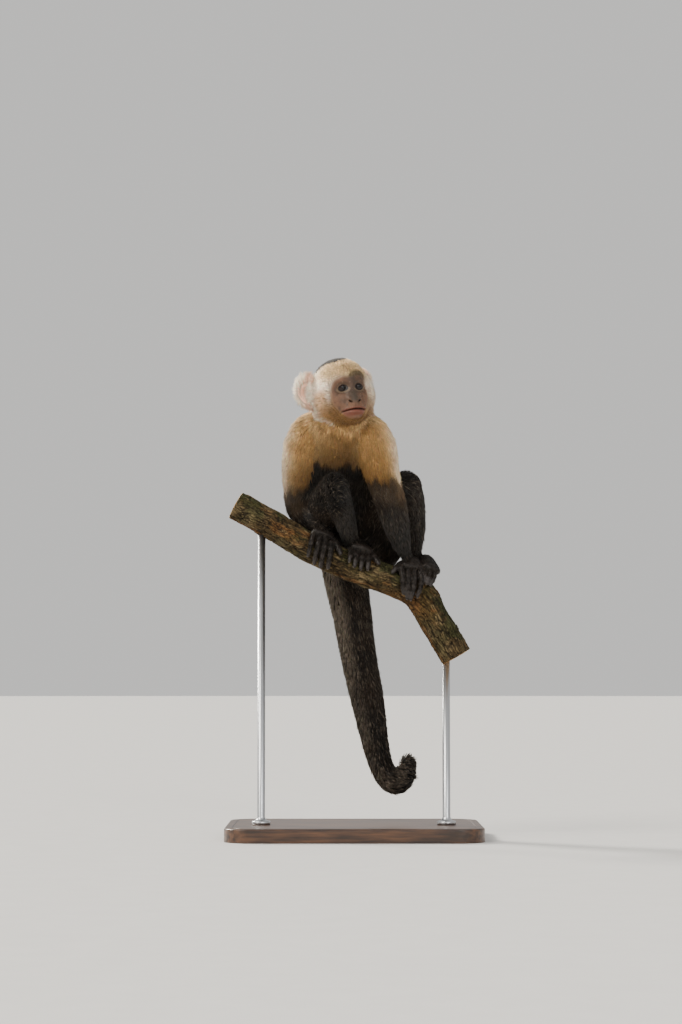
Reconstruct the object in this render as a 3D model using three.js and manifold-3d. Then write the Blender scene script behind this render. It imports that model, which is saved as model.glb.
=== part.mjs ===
// A white-faced capuchin monkey, life size, squatting on a cut length of branch with its hands
// and feet wrapped over it and its tail hanging behind. Two rods hold the branch over a flat base.
//
// Millimetres, +Z up. The origin is the middle of the base's underside. The monkey faces -Y and
// its own left is towards +X. Every flesh piece has the outer size of the coat that covers it.
import * as THREE from "three";
import { mergeVertices } from "three/addons/utils/BufferGeometryUtils.js";
import Module from "manifold-3d";

const wasm = await Module();
wasm.setup();

// Driving dimensions.
const jointGap = 0.3; // the cut left between any two pieces
const figurePlace = [-8, -25, 0]; // where the perch and monkey stand over the base's middle

const base = { length: 330, depth: 236, thickness: 18, corner: 34, edge: 2.5 };
const rod = { radius: 5, collarRadius: 12, collarHeight: 8, places: { left: [-112, 1], right: [127, 1] } };

const branch = { sides: 14, rows: 14 };

// The branch's middle line and thickness: [x, y, z, radius].
const branchStations = [
  [-146, 2, 431, 19.5],
  [-104, 1, 408, 19],
  [-64, 0, 384, 19.5],
  [-10, 0, 356.5, 19.5],
  [44, 0, 336.5, 19.5],
  [71, 0, 327.5, 20.5],
  [92, 0, 317, 23],
  [107, 0, 290, 21],
  [127, 1, 257, 20.5],
  [140, 2, 234, 21],
];

const head = { place: [-7.7, -22, 577.6], turn: 20, lift: 2, tip: -6.5 }; // degrees about Z, X, Y
const eye = { radius: 8.2, aside: 10.9, back: -25.4, up: 2.2 };
const ear = { aside: 40.5, back: 13, up: 2.5, wide: 21, tall: 25, thick: 6, flare: 45, lean: 12 };

// Colours and finishes.
const finish = {
  cream: { color: 0xe6d2ae, roughness: 0.85 },
  black: { color: 0x17130f, roughness: 0.85 },
  ear: { color: 0xe3b79c, roughness: 0.75 },
  hand: { color: 0x1d1917, roughness: 0.7 },
  eye: { color: 0x1c0f08, roughness: 0.08 },
  bark: { color: 0x6b5436, roughness: 0.9 },
  board: { color: 0x33241a, roughness: 0.45 },
  steel: { color: 0xb4b6b8, roughness: 0.3, metalness: 1 },
};
const materials = Object.fromEntries(
  Object.entries(finish).map(([name, values]) => [name, new THREE.MeshStandardMaterial({ name, ...values })]),
);

// Turning geometry into solids and back.
function solidOf(geometry) {
  const bare = new THREE.BufferGeometry().setAttribute("position", geometry.getAttribute("position"));
  const merged = mergeVertices(bare.setIndex(geometry.index), 1e-4);
  const corners = merged.index.array;
  const kept = [];
  for (let i = 0; i < corners.length; i += 3) {
    const [a, b, c] = corners.slice(i, i + 3);
    if (a !== b && b !== c && c !== a) kept.push(a, b, c);
  }
  const vertProperties = new Float32Array(merged.getAttribute("position").array);
  return new wasm.Manifold(new wasm.Mesh({ numProp: 3, vertProperties, triVerts: new Uint32Array(kept) }));
}

function geometryOf(solid) {
  const mesh = solid.getMesh();
  const places = new Float32Array(mesh.numVert * 3);
  for (let i = 0; i < mesh.numVert; i++) {
    places.set(mesh.vertProperties.subarray(i * mesh.numProp, i * mesh.numProp + 3), i * 3);
  }
  const geometry = new THREE.BufferGeometry()
    .setAttribute("position", new THREE.BufferAttribute(places, 3))
    .setIndex(new THREE.BufferAttribute(mesh.triVerts, 1));
  geometry.computeVertexNormals();
  return geometry;
}

// Moves every vertex of a geometry with a function that changes the point given to it.
function reshape(geometry, move) {
  const places = geometry.getAttribute("position");
  const point = new THREE.Vector3();
  for (let i = 0; i < places.count; i++) {
    move(point.fromBufferAttribute(places, i));
    places.setXYZ(i, point.x, point.y, point.z);
  }
  return geometry;
}

const vector = ([x, y, z]) => new THREE.Vector3(x, y, z);
const radians = THREE.MathUtils.degToRad;

// Body forms: each returns a function of how much the solid is grown on every side.

// A closed form along a smooth route. Each station is [x, y, z, halfWidth, halfDepth], and across
// is the direction of the width. ends says how far each end bulges, as a share of its half depth,
// where 0 is a flat end. from and to take one stretch of the route.
function routed({ stations, across, sides = 14, rows = 6, capRows = 3, ends = [1, 1], from = 0, to = 1 }) {
  const way = new THREE.CatmullRomCurve3(stations.map(vector));
  const girth = new THREE.CatmullRomCurve3(
    stations.map(([, , , wide, deep = wide]) => new THREE.Vector3(wide, deep, 0)),
  );
  return (grow = 0) => {
    const capsule = new THREE.CapsuleGeometry(1, 1, capRows, sides, rows);
    reshape(capsule, (point) => {
      const { x, y, z } = point;
      const along = THREE.MathUtils.clamp(y + 0.5, 0, 1);
      const t = from + (to - from) * along;
      const size = girth.getPoint(t);
      const tangent = way.getTangent(t);
      const side = vector(across);
      side.addScaledVector(tangent, -tangent.dot(side)).normalize();
      const front = new THREE.Vector3().crossVectors(side, tangent);
      const outward = along < 1e-6 ? -1 : along > 1 - 1e-6 ? 1 : 0;
      const bulge = ends[outward > 0 ? 1 : 0];
      const past = bulge > 0 ? (y + 0.5 - along) * (size.y * bulge + grow) : outward * grow;
      point
        .copy(way.getPoint(t))
        .addScaledVector(tangent, past)
        .addScaledVector(side, x * (size.x + grow))
        .addScaledVector(front, z * (size.y + grow));
    });
    return solidOf(capsule);
  };
}

// How far an ellipsoid's surface is from a point inside it, in a direction.
function reachOf({ middle, half }, from, direction) {
  const start = from.clone().sub(vector(middle)).divide(vector(half));
  const step = direction.clone().divide(vector(half));
  const a = step.lengthSq();
  const b = start.dot(step);
  return (Math.sqrt(b * b - a * (start.lengthSq() - 1)) - b) / a;
}

// A direction moved towards the front (-Y), so that a ball's vertices crowd there. The ball's poles
// are on the X axis.
function crowded({ x, y, z }) {
  const aside = Math.asin(THREE.MathUtils.clamp(x, -1, 1));
  const round = Math.atan2(z, -y);
  const nearAside = aside - 0.2 * Math.sin(2 * aside);
  const nearRound = round - 0.45 * Math.sin(round);
  return new THREE.Vector3(
    Math.sin(nearAside),
    -Math.cos(nearAside) * Math.cos(nearRound),
    Math.cos(nearAside) * Math.sin(nearRound),
  );
}

// A form seen from one point inside it: a soft union of ellipsoids, then rises and hollows, each
// centred on a direction and fading with the angle from it.
function starred({ core, ellipsoids, rises, soft, columns, rings }) {
  const from = vector(core);
  const directionOf = (aside, up) =>
    new THREE.Vector3(
      Math.sin(radians(aside)) * Math.cos(radians(up)),
      -Math.cos(radians(aside)) * Math.cos(radians(up)),
      Math.sin(radians(up)),
    );
  const bumps = rises.flatMap(({ aside = 0, up, wide, tall, height }) =>
    (aside ? [aside, -aside] : [0]).map((turn) => ({
      to: directionOf(turn, up),
      right: directionOf(turn + 90, 0),
      wide: radians(wide),
      tall: radians(tall),
      height,
    })),
  );
  const heightOf = (bump, direction) => {
    if (direction.dot(bump.to) <= 0) return 0;
    const over = new THREE.Vector3().crossVectors(bump.right, bump.to);
    const u = direction.dot(bump.right) / bump.wide;
    const v = direction.dot(over) / bump.tall;
    return bump.height * Math.exp(-(u * u) - v * v);
  };
  return (grow = 0) => {
    const ball = new THREE.SphereGeometry(1, columns, rings).rotateZ(Math.PI / 2);
    reshape(ball, (point) => {
      const direction = crowded(point);
      const reaches = ellipsoids.map((e) => reachOf(e, from, direction) ** soft);
      const reach = reaches.reduce((sum, value) => sum + value, 0) ** (1 / soft);
      const rise = bumps.reduce((sum, bump) => sum + heightOf(bump, direction), 0);
      point.copy(from).addScaledVector(direction, reach + rise + grow);
    });
    return solidOf(ball);
  };
}

// Moves what a form makes with a matrix.
const placed = (form, matrix) => (grow = 0) => form(grow).transform(matrix.elements);

// The branch and places round it.
const branchWay = new THREE.CatmullRomCurve3(branchStations.map(vector));
const branchGirth = new THREE.CatmullRomCurve3(branchStations.map((s) => new THREE.Vector3(s[3], 0, 0)));

function branchShare(x) {
  let [low, high] = [0, 1];
  for (let i = 0; i < 24; i++) {
    const middle = (low + high) / 2;
    if (branchWay.getPoint(middle).x < x) low = middle;
    else high = middle;
  }
  return low;
}

const branchDirection = (x) => branchWay.getTangent(branchShare(x));

// A place over the bark: where the middle line crosses x, at an angle round it (0 is the front, 90
// is the top), out from the bark.
function onBranch(x, angle, out) {
  const share = branchShare(x);
  const tangent = branchWay.getTangent(share);
  const front = new THREE.Vector3(0, -1, 0).addScaledVector(tangent, tangent.y).normalize();
  const top = new THREE.Vector3().crossVectors(front, tangent);
  const far = branchGirth.getPoint(share).x + out;
  return branchWay
    .getPoint(share)
    .addScaledVector(front, Math.cos(radians(angle)) * far)
    .addScaledVector(top, Math.sin(radians(angle)) * far)
    .toArray();
}

const perchForm = routed({
  stations: branchStations,
  across: [0, 1, 0],
  sides: branch.sides,
  rows: branch.rows,
  capRows: 1,
  ends: [0, 0],
});

// Head, eyes and ears: made facing -Y round the head's middle, then turned.
const headMatrix = new THREE.Matrix4()
  .makeTranslation(...head.place)
  .multiply(
    new THREE.Matrix4().makeRotationFromEuler(
      new THREE.Euler(radians(head.lift), radians(head.tip), radians(head.turn), "ZYX"),
    ),
  );

const headForm = placed(
  starred({
    core: [0, 0, 0],
    ellipsoids: [
      { middle: [0, 6, 6], half: [37, 44, 38] },
      { middle: [0, -3, -10], half: [40, 35, 32] },
    ],
    soft: 12,
    columns: 22,
    rings: 16,
    rises: [
      { up: -40, wide: 23, tall: 21, height: 19 }, // muzzle and chin
      { up: -13, wide: 8, tall: 12, height: 4 }, // bridge of the nose
      { aside: 17, up: 19, wide: 15, tall: 7, height: 2.5 }, // brow
      { aside: 19.5, up: 3, wide: 12, tall: 10, height: -6 }, // eye socket
      { aside: 48, up: -14, wide: 14, tall: 18, height: 2 }, // cheek
    ],
  }),
  headMatrix,
);

function eyeForm(side) {
  const ball = (grow = 0) =>
    solidOf(
      new THREE.SphereGeometry(eye.radius + grow, 10, 7)
        .rotateX(Math.PI / 2)
        .translate(side * eye.aside, eye.back, eye.up),
    );
  return placed(ball, headMatrix);
}

// A thin cup of skin with its fringe of hair, hollow towards the front.
function earForm(side) {
  const matrix = new THREE.Matrix4()
    .makeTranslation(side * ear.aside, ear.back, ear.up)
    .multiply(
      new THREE.Matrix4().makeRotationFromEuler(
        new THREE.Euler(0, side * radians(ear.lean), side * radians(ear.flare), "ZYX"),
      ),
    );
  const cup = (grow = 0) =>
    solidOf(
      reshape(new THREE.SphereGeometry(1, 12, 6), (point) => {
        const middle = Math.max(0, 1 - (point.x ** 2 + point.z ** 2) * 1.4);
        const hollow = point.y < 0 ? ear.thick * 0.8 * middle : 0;
        point.set(
          point.x * (ear.wide + grow),
          point.y * (ear.thick + grow) + hollow,
          point.z * (ear.tall + grow),
        );
      }),
    );
  return placed(cup, new THREE.Matrix4().multiplyMatrices(headMatrix, matrix));
}

// Trunk, neck and tail: stretches of two routes.
const trunkRoute = {
  across: [1, 0, 0],
  sides: 16,
  capRows: 2,
  stations: [
    [-11.6, 54, 399, 49, 42],
    [-13, 50, 434, 56, 52],
    [-12, 32, 478, 56, 52],
    [-10, 10, 512, 50, 44],
    [-8, -2, 539, 45, 38],
    [-7, -10, 566, 36, 33],
  ],
};
const abdomenForm = routed({ ...trunkRoute, rows: 5, ends: [0.75, 0], from: 0, to: 0.36 });
const chestForm = routed({ ...trunkRoute, rows: 5, capRows: 1, ends: [0, 0], from: 0.36, to: 0.74 });
const neckForm = routed({ ...trunkRoute, rows: 4, capRows: 1, ends: [0, 0], from: 0.74, to: 1 });

const tailRoute = {
  across: [0, 1, 0],
  sides: 10,
  rows: 4,
  capRows: 1,
  ends: [0, 0],
  stations: [
    [-13, 70, 398, 26],
    [-12, 73, 372, 28],
    [-3, 74, 336, 30],
    [6, 70, 290, 27.5],
    [13.5, 66, 238, 25],
    [26, 62, 178, 23.5],
    [35.5, 58, 125, 19],
    [42.5, 55, 95, 17],
    [52, 52, 74, 15.5],
    [64, 48, 67, 14.8],
    [74, 44, 77, 14.8],
    [77.5, 42, 97, 13.8],
  ],
};
const tailForms = {
  tail_root: routed({ ...tailRoute, from: 0, to: 0.28 }),
  tail_middle: routed({ ...tailRoute, from: 0.28, to: 0.5 }),
  tail_lower: routed({ ...tailRoute, from: 0.5, to: 0.7 }),
  tail_tip: routed({ ...tailRoute, rows: 8, capRows: 3, ends: [0, 1], from: 0.7, to: 1 }),
};

// Arms and legs.
const limb = { across: [1, 0, 0], sides: 10, rows: 3, capRows: 2 };
const limbForms = {
  upper_arm_right: routed({
    ...limb,
    stations: [
      [-50, -6, 526, 27],
      [-58, -6, 506, 28],
      [-61, 8, 478, 27],
      [-65, 27, 452, 21.5],
    ],
  }),
  upper_arm_left: routed({
    ...limb,
    stations: [
      [28, -12, 524, 27],
      [37, -20, 504, 28],
      [43, -34, 472, 24.5],
      [49, -42, 446, 21],
    ],
  }),
  forearm_right: routed({
    ...limb,
    stations: [
      [-65.5, 34, 447, 20.5],
      [-62, 22, 426, 19],
      [-52, 9, 409, 15.5],
      [-45, 2, 399, 12],
    ],
  }),
  forearm_left: routed({
    ...limb,
    stations: [
      [51, -42, 444, 21],
      [58, -38, 420, 20],
      [64, -26, 396, 16.5],
      [71, -13, 374, 12],
    ],
  }),
  thigh_right: routed({
    ...limb,
    stations: [
      [-36, 44, 402, 30],
      [-34, 14, 418, 28],
      [-26, -22, 437, 23],
      [-17, -54, 454.5, 18],
    ],
  }),
  thigh_left: routed({
    ...limb,
    stations: [
      [37, 42, 381, 39],
      [43, 30, 413, 30],
      [60, 6, 444, 23],
      [76, -10, 460, 18],
    ],
  }),
  shin_right: routed({
    ...limb,
    stations: [
      [-16, -56, 452.5, 18],
      [-10, -44, 429, 17],
      [-2, -16, 404, 14],
      [3, 6, 386, 11.5],
    ],
  }),
  shin_left: routed({
    ...limb,
    stations: [
      [78, -12, 458, 18],
      [84, -4, 432, 17],
      [88, 10, 400, 14.5],
      [86, 16, 374, 11.5],
    ],
  }),
};

// Hands and feet, folded over the branch.

// A finger or toe bent round the branch: pairs for its first and last place along the branch,
// angle and distance out, and its thickness.
function digit({ x, turn, out = [3.3, 3.3], thick = 3.45 }) {
  const between = ([first, last], share) => first + (last - first) * share;
  const stations = [0, 0.33, 0.67, 1].map((share) => [
    ...onBranch(between(x, share), between(turn, share), between(out, share)),
    thick * (1.12 - 0.3 * share),
  ]);
  const across = branchDirection((x[0] + x[1]) / 2).toArray();
  return routed({ stations, across, sides: 6, rows: 3, capRows: 2 });
}

// The flat of a hand or foot: places round the branch as [x, angle, out, halfWidth, halfDepth].
function flat(...places) {
  const stations = places.map(([x, angle, out, wide, deep]) => [...onBranch(x, angle, out), wide, deep]);
  const across = branchDirection(places[0][0]).toArray();
  return routed({ stations, across, sides: 10, rows: 3, capRows: 2, ends: [0.8, 0.8] });
}

const palmForms = {
  palm_right: flat([-49, 104, 8, 9.5, 8], [-46, 84, 8, 12, 7.5], [-42, 60, 6, 15.5, 6]),
  palm_left: flat([67, 100, 13, 9.5, 8], [71, 80, 12, 12, 7.5], [75, 60, 8, 15.5, 6]),
};
const fingerForms = {
  thumb_right: digit({ x: [-32, -14], turn: [82, 26], thick: 4.1 }),
  finger_index_right: digit({ x: [-29, -20], turn: [50, -34] }),
  finger_middle_right: digit({ x: [-37, -28], turn: [52, -46] }),
  finger_ring_right: digit({ x: [-45, -36], turn: [50, -44] }),
  finger_little_right: digit({ x: [-53, -46], turn: [48, -28], thick: 3.1 }),
  thumb_left: digit({ x: [63, 55], turn: [80, 28], out: [6, 3.6], thick: 4.1 }),
  finger_index_left: digit({ x: [62, 75], turn: [52, -24], out: [5.5, 3.6] }),
  finger_middle_left: digit({ x: [70, 82], turn: [54, -34], out: [5.5, 3.6] }),
  finger_ring_left: digit({ x: [78, 88.5], turn: [52, -30], out: [5.5, 3.6] }),
  finger_little_left: digit({ x: [85, 93.5], turn: [48, -12], out: [5.5, 3.6], thick: 3.1 }),
};
const footForms = {
  foot_right: flat([10, 70, 8, 15, 7], [7, 96, 9, 12, 8], [3, 128, 9, 9.5, 9], [1, 150, 10, 9, 9]),
  foot_left: flat([89, 72, 12, 14, 7.5], [85, 96, 17.5, 12, 9], [81, 124, 17.5, 10, 10], [78, 146, 16, 9, 9]),
};
const toeForms = {
  toe_big_right: digit({ x: [22, 34], turn: [86, 44], thick: 4.3 }),
  toe_second_right: digit({ x: [20, 24], turn: [66, 10] }),
  toe_third_right: digit({ x: [12, 16], turn: [66, 4] }),
  toe_fourth_right: digit({ x: [4, 8], turn: [64, 4] }),
  toe_fifth_right: digit({ x: [-4, 0], turn: [62, 14], thick: 3.1 }),
  toe_big_left: digit({ x: [80, 76], turn: [92, 62], out: [10, 5], thick: 4.3 }),
  toe_second_left: digit({ x: [81, 86], turn: [70, 36], out: [11, 4] }),
  toe_third_left: digit({ x: [84.5, 89], turn: [72, 32], out: [11, 4] }),
  toe_fourth_left: digit({ x: [88, 91.5], turn: [72, 34], out: [10, 4] }),
  toe_fifth_left: digit({ x: [91.5, 93.5], turn: [70, 40], out: [9, 4], thick: 3.1 }),
};

// Stand.
function baseForm() {
  const [x, y, r] = [base.length / 2 - base.edge, base.depth / 2 - base.edge, base.corner - base.edge];
  const outline = new THREE.Shape()
    .moveTo(-x + r, -y)
    .lineTo(x - r, -y)
    .absarc(x - r, -y + r, r, -Math.PI / 2, 0)
    .absarc(x - r, y - r, r, 0, Math.PI / 2)
    .absarc(-x + r, y - r, r, Math.PI / 2, Math.PI)
    .absarc(-x + r, -y + r, r, Math.PI, Math.PI * 1.5);
  const board = new THREE.ExtrudeGeometry(outline, {
    depth: base.thickness - 2 * base.edge,
    bevelSize: base.edge,
    bevelThickness: base.edge,
    bevelSegments: 1,
    curveSegments: 4,
  });
  const [left, back] = figurePlace;
  return solidOf(mergeVertices(board.translate(-left, -back, base.edge)));
}

// A rod with a collar at its foot, as tall as the branch's middle line over it.
function rodForm([x, y]) {
  const top = branchWay.getPoint(branchShare(x)).z;
  const profile = [
    [0, base.thickness],
    [rod.collarRadius, base.thickness],
    [rod.collarRadius, base.thickness + rod.collarHeight - 2],
    [rod.collarRadius - 2, base.thickness + rod.collarHeight],
    [rod.radius, base.thickness + rod.collarHeight],
    [rod.radius, top],
    [0, top],
  ].map(([r, z]) => new THREE.Vector2(r, z));
  return () => solidOf(new THREE.LatheGeometry(profile, 12).rotateX(Math.PI / 2).translate(x, y, 0));
}

// Cutting: every piece gives way to the ones before it.
const order = [
  ["perch_branch", "bark", perchForm],
  ["eye_right", "eye", eyeForm(-1)],
  ["eye_left", "eye", eyeForm(1)],
  ["head", "cream", headForm],
  ["ear_right", "ear", earForm(-1)],
  ["ear_left", "ear", earForm(1)],
  ["chest", "cream", chestForm],
  ["abdomen", "black", abdomenForm],
  ["neck", "cream", neckForm],
  ["upper_arm_right", "cream", limbForms.upper_arm_right],
  ["upper_arm_left", "cream", limbForms.upper_arm_left],
  ["forearm_right", "black", limbForms.forearm_right],
  ["forearm_left", "black", limbForms.forearm_left],
  ...Object.entries(palmForms).map(([name, form]) => [name, "hand", form]),
  ...Object.entries(fingerForms).map(([name, form]) => [name, "hand", form]),
  ["thigh_right", "black", limbForms.thigh_right],
  ["thigh_left", "black", limbForms.thigh_left],
  ["shin_right", "black", limbForms.shin_right],
  ["shin_left", "black", limbForms.shin_left],
  ...Object.entries(footForms).map(([name, form]) => [name, "hand", form]),
  ...Object.entries(toeForms).map(([name, form]) => [name, "hand", form]),
  ...Object.entries(tailForms).map(([name, form]) => [name, "black", form]),
  ["stand_rod_left", "steel", rodForm(rod.places.left)],
  ["stand_rod_right", "steel", rodForm(rod.places.right)],
  ["stand_base", "board", baseForm],
];

const volumeOf = (solid) => solid.volume();
const meets = (one, two) =>
  [0, 1, 2].every((axis) => one.min[axis] <= two.max[axis] && two.min[axis] <= one.max[axis]);

const group = new THREE.Group();
group.name = "capuchin";
const figure = new THREE.Group();
figure.name = "figure";
figure.position.fromArray(figurePlace);
group.add(figure);

const done = [];
for (const [name, material, form] of order) {
  let solid = form(0);
  const box = solid.boundingBox();
  for (const earlier of done) {
    if (meets(box, earlier.grown.boundingBox())) solid = solid.subtract(earlier.grown);
  }
  const [largest] = solid.decompose().sort((one, two) => volumeOf(two) - volumeOf(one));
  done.push({ grown: form(jointGap) });
  const mesh = new THREE.Mesh(geometryOf(largest), materials[material]);
  mesh.name = name;
  figure.add(mesh);
}

export default group;
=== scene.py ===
import math

import bmesh
import bpy
import numpy as np
from mathutils import Euler, Matrix, Vector
from mathutils.bvhtree import BVHTree
from mathutils.kdtree import KDTree


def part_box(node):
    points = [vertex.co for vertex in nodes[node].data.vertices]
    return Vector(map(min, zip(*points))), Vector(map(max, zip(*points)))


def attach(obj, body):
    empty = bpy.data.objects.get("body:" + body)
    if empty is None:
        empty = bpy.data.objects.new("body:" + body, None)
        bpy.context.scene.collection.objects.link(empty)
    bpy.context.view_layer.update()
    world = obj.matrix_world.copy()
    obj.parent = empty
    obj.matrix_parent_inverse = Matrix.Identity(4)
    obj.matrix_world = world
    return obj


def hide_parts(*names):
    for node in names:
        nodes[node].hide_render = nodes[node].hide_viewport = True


# A white-faced capuchin monkey on its perch: one skin with its face modelled in it, a coat of
# solid tufts over the skin, glossy eyes, nails, bark and a plain display stand.

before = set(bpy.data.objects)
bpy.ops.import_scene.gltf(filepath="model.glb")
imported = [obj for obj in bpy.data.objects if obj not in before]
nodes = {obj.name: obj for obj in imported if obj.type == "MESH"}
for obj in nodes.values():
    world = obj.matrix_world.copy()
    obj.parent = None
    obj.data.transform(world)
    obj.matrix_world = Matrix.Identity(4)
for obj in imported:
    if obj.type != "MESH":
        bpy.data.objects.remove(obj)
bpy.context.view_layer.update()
mm = 0.001

sides = {"right": -1, "left": 1}  # the monkey's own sides
fingers = ["thumb", "finger_index", "finger_middle", "finger_ring", "finger_little"]
toes = ["toe_big", "toe_second", "toe_third", "toe_fourth", "toe_fifth"]
tailParts = ["tail_root", "tail_middle", "tail_lower", "tail_tip"]
trunkParts = ["head", "neck", "chest", "abdomen"]
limbParts = [f"{part}_{side}" for part in ("upper_arm", "forearm", "thigh", "shin") for side in sides]
handParts = {
    f"{flat}_{side}": [f"{flat}_{side}"] + [f"{digit}_{side}" for digit in digits]
    for flat, digits in (("palm", fingers), ("foot", toes))
    for side in sides
}
eyeParts = ["eye_right", "eye_left"]
earParts = ["ear_right", "ear_left"]
fleshParts = trunkParts + limbParts + tailParts + earParts + sum(handParts.values(), [])


# Small tools.


def smooth(low, high, value):
    share = np.clip((value - low) / (high - low), 0, 1)
    return share * share * (3 - 2 * share)


def bell(value, middle, width):
    return np.exp(-(((value - middle) / width) ** 2))


def unit(vectors):
    return vectors / np.maximum(np.linalg.norm(vectors, axis=-1, keepdims=True), 1e-12)


def centreOf(name):
    low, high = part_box(name)
    return np.array((low + high) / 2)


def farFrom(spots, name):
    # How far each spot is from the middle of a node, in millimetres.
    return np.linalg.norm(spots - centreOf(name), axis=1) / mm


def spotsOf(mesh):
    spots = np.empty(len(mesh.vertices) * 3, np.float32)
    mesh.vertices.foreach_get("co", spots)
    return spots.reshape(-1, 3).astype(float)


def moveTo(mesh, spots):
    mesh.vertices.foreach_set("co", np.asarray(spots, np.float32).ravel())
    mesh.update()


def normalsOf(mesh):
    normals = np.empty(len(mesh.vertices) * 3, np.float32)
    mesh.vertex_normals.foreach_get("vector", normals)
    return normals.reshape(-1, 3).astype(float)


def edgesOf(mesh):
    edges = np.empty(len(mesh.edges) * 2, np.int32)
    mesh.edges.foreach_get("vertices", edges)
    return edges.reshape(-1, 2)


def blurred(values, edges, rounds):
    # Spreads values over a mesh's edges: each takes half of what its neighbours are.
    values = np.array(values, float)
    columns = values.reshape(len(values), -1)
    a, b = edges.T
    count = np.maximum(np.bincount(edges.ravel(), minlength=len(values)), 1)
    for _ in range(rounds):
        for column in columns.T:
            near = np.bincount(a, column[b], len(values)) + np.bincount(b, column[a], len(values))
            column += 0.5 * (near / count - column)
    return values


mottling = {
    "shift": np.array([7.31, 3.17, 5.71]),  # grid cells between one seed and the next
    "scatter": (73856093, 19349663, 83492791, 2654435),  # big odd factors for x, y, z and the seed
    "stir": 1274126177,
}


def mottle(spots, size, seed):
    # Soft noise from -1 to 1, with patches about as wide as size.
    grid = spots / size + seed * mottling["shift"]
    cell = np.floor(grid).astype(np.int64)
    part = grid - cell
    part = part * part * (3 - 2 * part)
    total = np.zeros(len(spots))
    for corner in np.ndindex(2, 2, 2):
        x, y, z = (cell + np.array(corner)).T
        a, b, c, d = mottling["scatter"]
        drawn = (x * a) ^ (y * b) ^ (z * c) ^ (seed * d)
        drawn = (drawn ^ (drawn >> 13)) * mottling["stir"] & 0xFFFFFFFF
        value = ((drawn ^ (drawn >> 16)) & 0xFFFF) / 0xFFFF
        total += value * np.prod(np.where(corner, part, 1 - part), axis=1)
    return total * 2 - 1


def linear(red, green, blue):
    # A colour as it looks, from 0 to 255, as linear light.
    return np.array([(c / 255) ** 2.2 for c in (red, green, blue)])


def mixed(one, two, share):
    share = np.asarray(share)[..., None]
    return one * (1 - share) + two * share


def tinted(colour, palette, *steps):
    # Mixes colours of a palette into a colour one after another, each by its own share.
    for name, share in steps:
        colour = mixed(colour, palette[name], share)
    return colour


def where(chosen, one, two):
    # The first colours on the chosen spots, the second ones on the rest.
    return np.where(chosen[:, None], one, two)


def streaksOf(spots, size, seed, low, high):
    # From 0 to 1 in narrow streaks that stand upright.
    return smooth(low, high, mottle(spots * np.array([1, 1, 0.4]), size, seed))


def newPiece(name, mesh):
    piece = bpy.data.objects.new(name, mesh)
    bpy.context.collection.objects.link(piece)
    return piece


def shade(piece, *finishes):
    piece.data.materials.clear()
    for finish in finishes:
        piece.data.materials.append(finish)
    piece.data.shade_smooth()


def meshOf(work, name):
    mesh = bpy.data.meshes.new(name)
    work.to_mesh(mesh)
    work.free()
    return mesh


def evaluated(piece):
    graph = bpy.context.evaluated_depsgraph_get()
    mesh = bpy.data.meshes.new_from_object(piece.evaluated_get(graph))
    bpy.data.objects.remove(piece)
    return mesh


def solidOf(names, grow):
    # The named nodes as one mesh, each made a little larger so that they reach each other.
    work = bmesh.new()
    faceNodes = []
    for name in names:
        part = bmesh.new()
        part.from_mesh(nodes[name].data)
        bmesh.ops.remove_doubles(part, verts=part.verts, dist=2e-6)
        part.normal_update()
        for vert in part.verts:
            vert.co += vert.normal * grow
        faceNodes += [name] * len(part.faces)
        mesh = meshOf(part, "part")
        work.from_mesh(mesh)
        bpy.data.meshes.remove(mesh)
    return meshOf(work, "solid"), faceNodes


def remeshed(mesh, voxel):
    piece = newPiece("work", mesh)
    remesh = piece.modifiers.new("voxels", "REMESH")
    remesh.mode = "VOXEL"
    remesh.voxel_size = voxel
    return evaluated(piece)


def soften(mesh, rounds):
    moveTo(mesh, blurred(spotsOf(mesh), edgesOf(mesh), rounds))


def groupOf(name):
    # Which limb a node belongs to. Hair of one limb never lies on another.
    part, _, side = name.rpartition("_")
    if part in ("upper_arm", "forearm", "palm") or part in fingers:
        return "arm " + side
    if part in ("thigh", "shin", "foot") or part in toes:
        return "leg " + side
    return "tail" if name in tailParts else "trunk"


tracing = {"unreached": 9.0, "rounds": 500, "evenings": 3, "waySpan": 5}


def middleLine(mesh, starts, step, ends):
    # The middle line of a long bent form: the centres of rings a step apart over its surface. The
    # first and last rings are unsure, so both ends are cut and drawn on straight.
    spots, edges = spotsOf(mesh), edgesOf(mesh)
    a, b = edges.T
    lengths = np.linalg.norm(spots[a] - spots[b], axis=1)
    far = np.where(starts(spots), 0.0, tracing["unreached"])
    for _ in range(tracing["rounds"]):
        np.minimum.at(far, a, far[b] + lengths)
        np.minimum.at(far, b, far[a] + lengths)
    rings = (far / step).astype(int)
    line = np.array([spots[rings == ring].mean(0) for ring in range(rings.max() - 1)])
    for _ in range(tracing["evenings"]):
        line[1:-1] = (line[:-2] + line[1:-1] + line[2:]) / 3
    line = line[ends:-ends]
    span = tracing["waySpan"]
    ahead, behind = unit(line[-1] - line[-1 - span]), unit(line[0] - line[span])
    more = np.arange(1, 2 * ends + 1)[:, None] * step
    return np.vstack([(line[0] + behind * more)[::-1], line, line[-1] + ahead * more])


def besideLine(spots, line):
    # For each spot: the length along the line, the line's direction, and the way out from it.
    lengths = np.concatenate([[0], np.cumsum(np.linalg.norm(np.diff(line, axis=0), axis=1))])
    ways = unit(np.gradient(line, axis=0))
    tree = KDTree(len(line))
    for index, place in enumerate(line):
        tree.insert(place, index)
    tree.balance()
    nearest = np.array([tree.find(spot)[1] for spot in spots])
    way = ways[nearest]
    out = spots - line[nearest]
    ahead = (out * way).sum(1)
    return lengths[nearest] + ahead, way, out - way * ahead[:, None]


# The head's own directions: aside, forward and up, in millimetres from its middle.

headPose = {"turn": 20, "lift": 2, "tip": -6.5, "eyesForward": 25.4, "eyesUp": 2.2}

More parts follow.
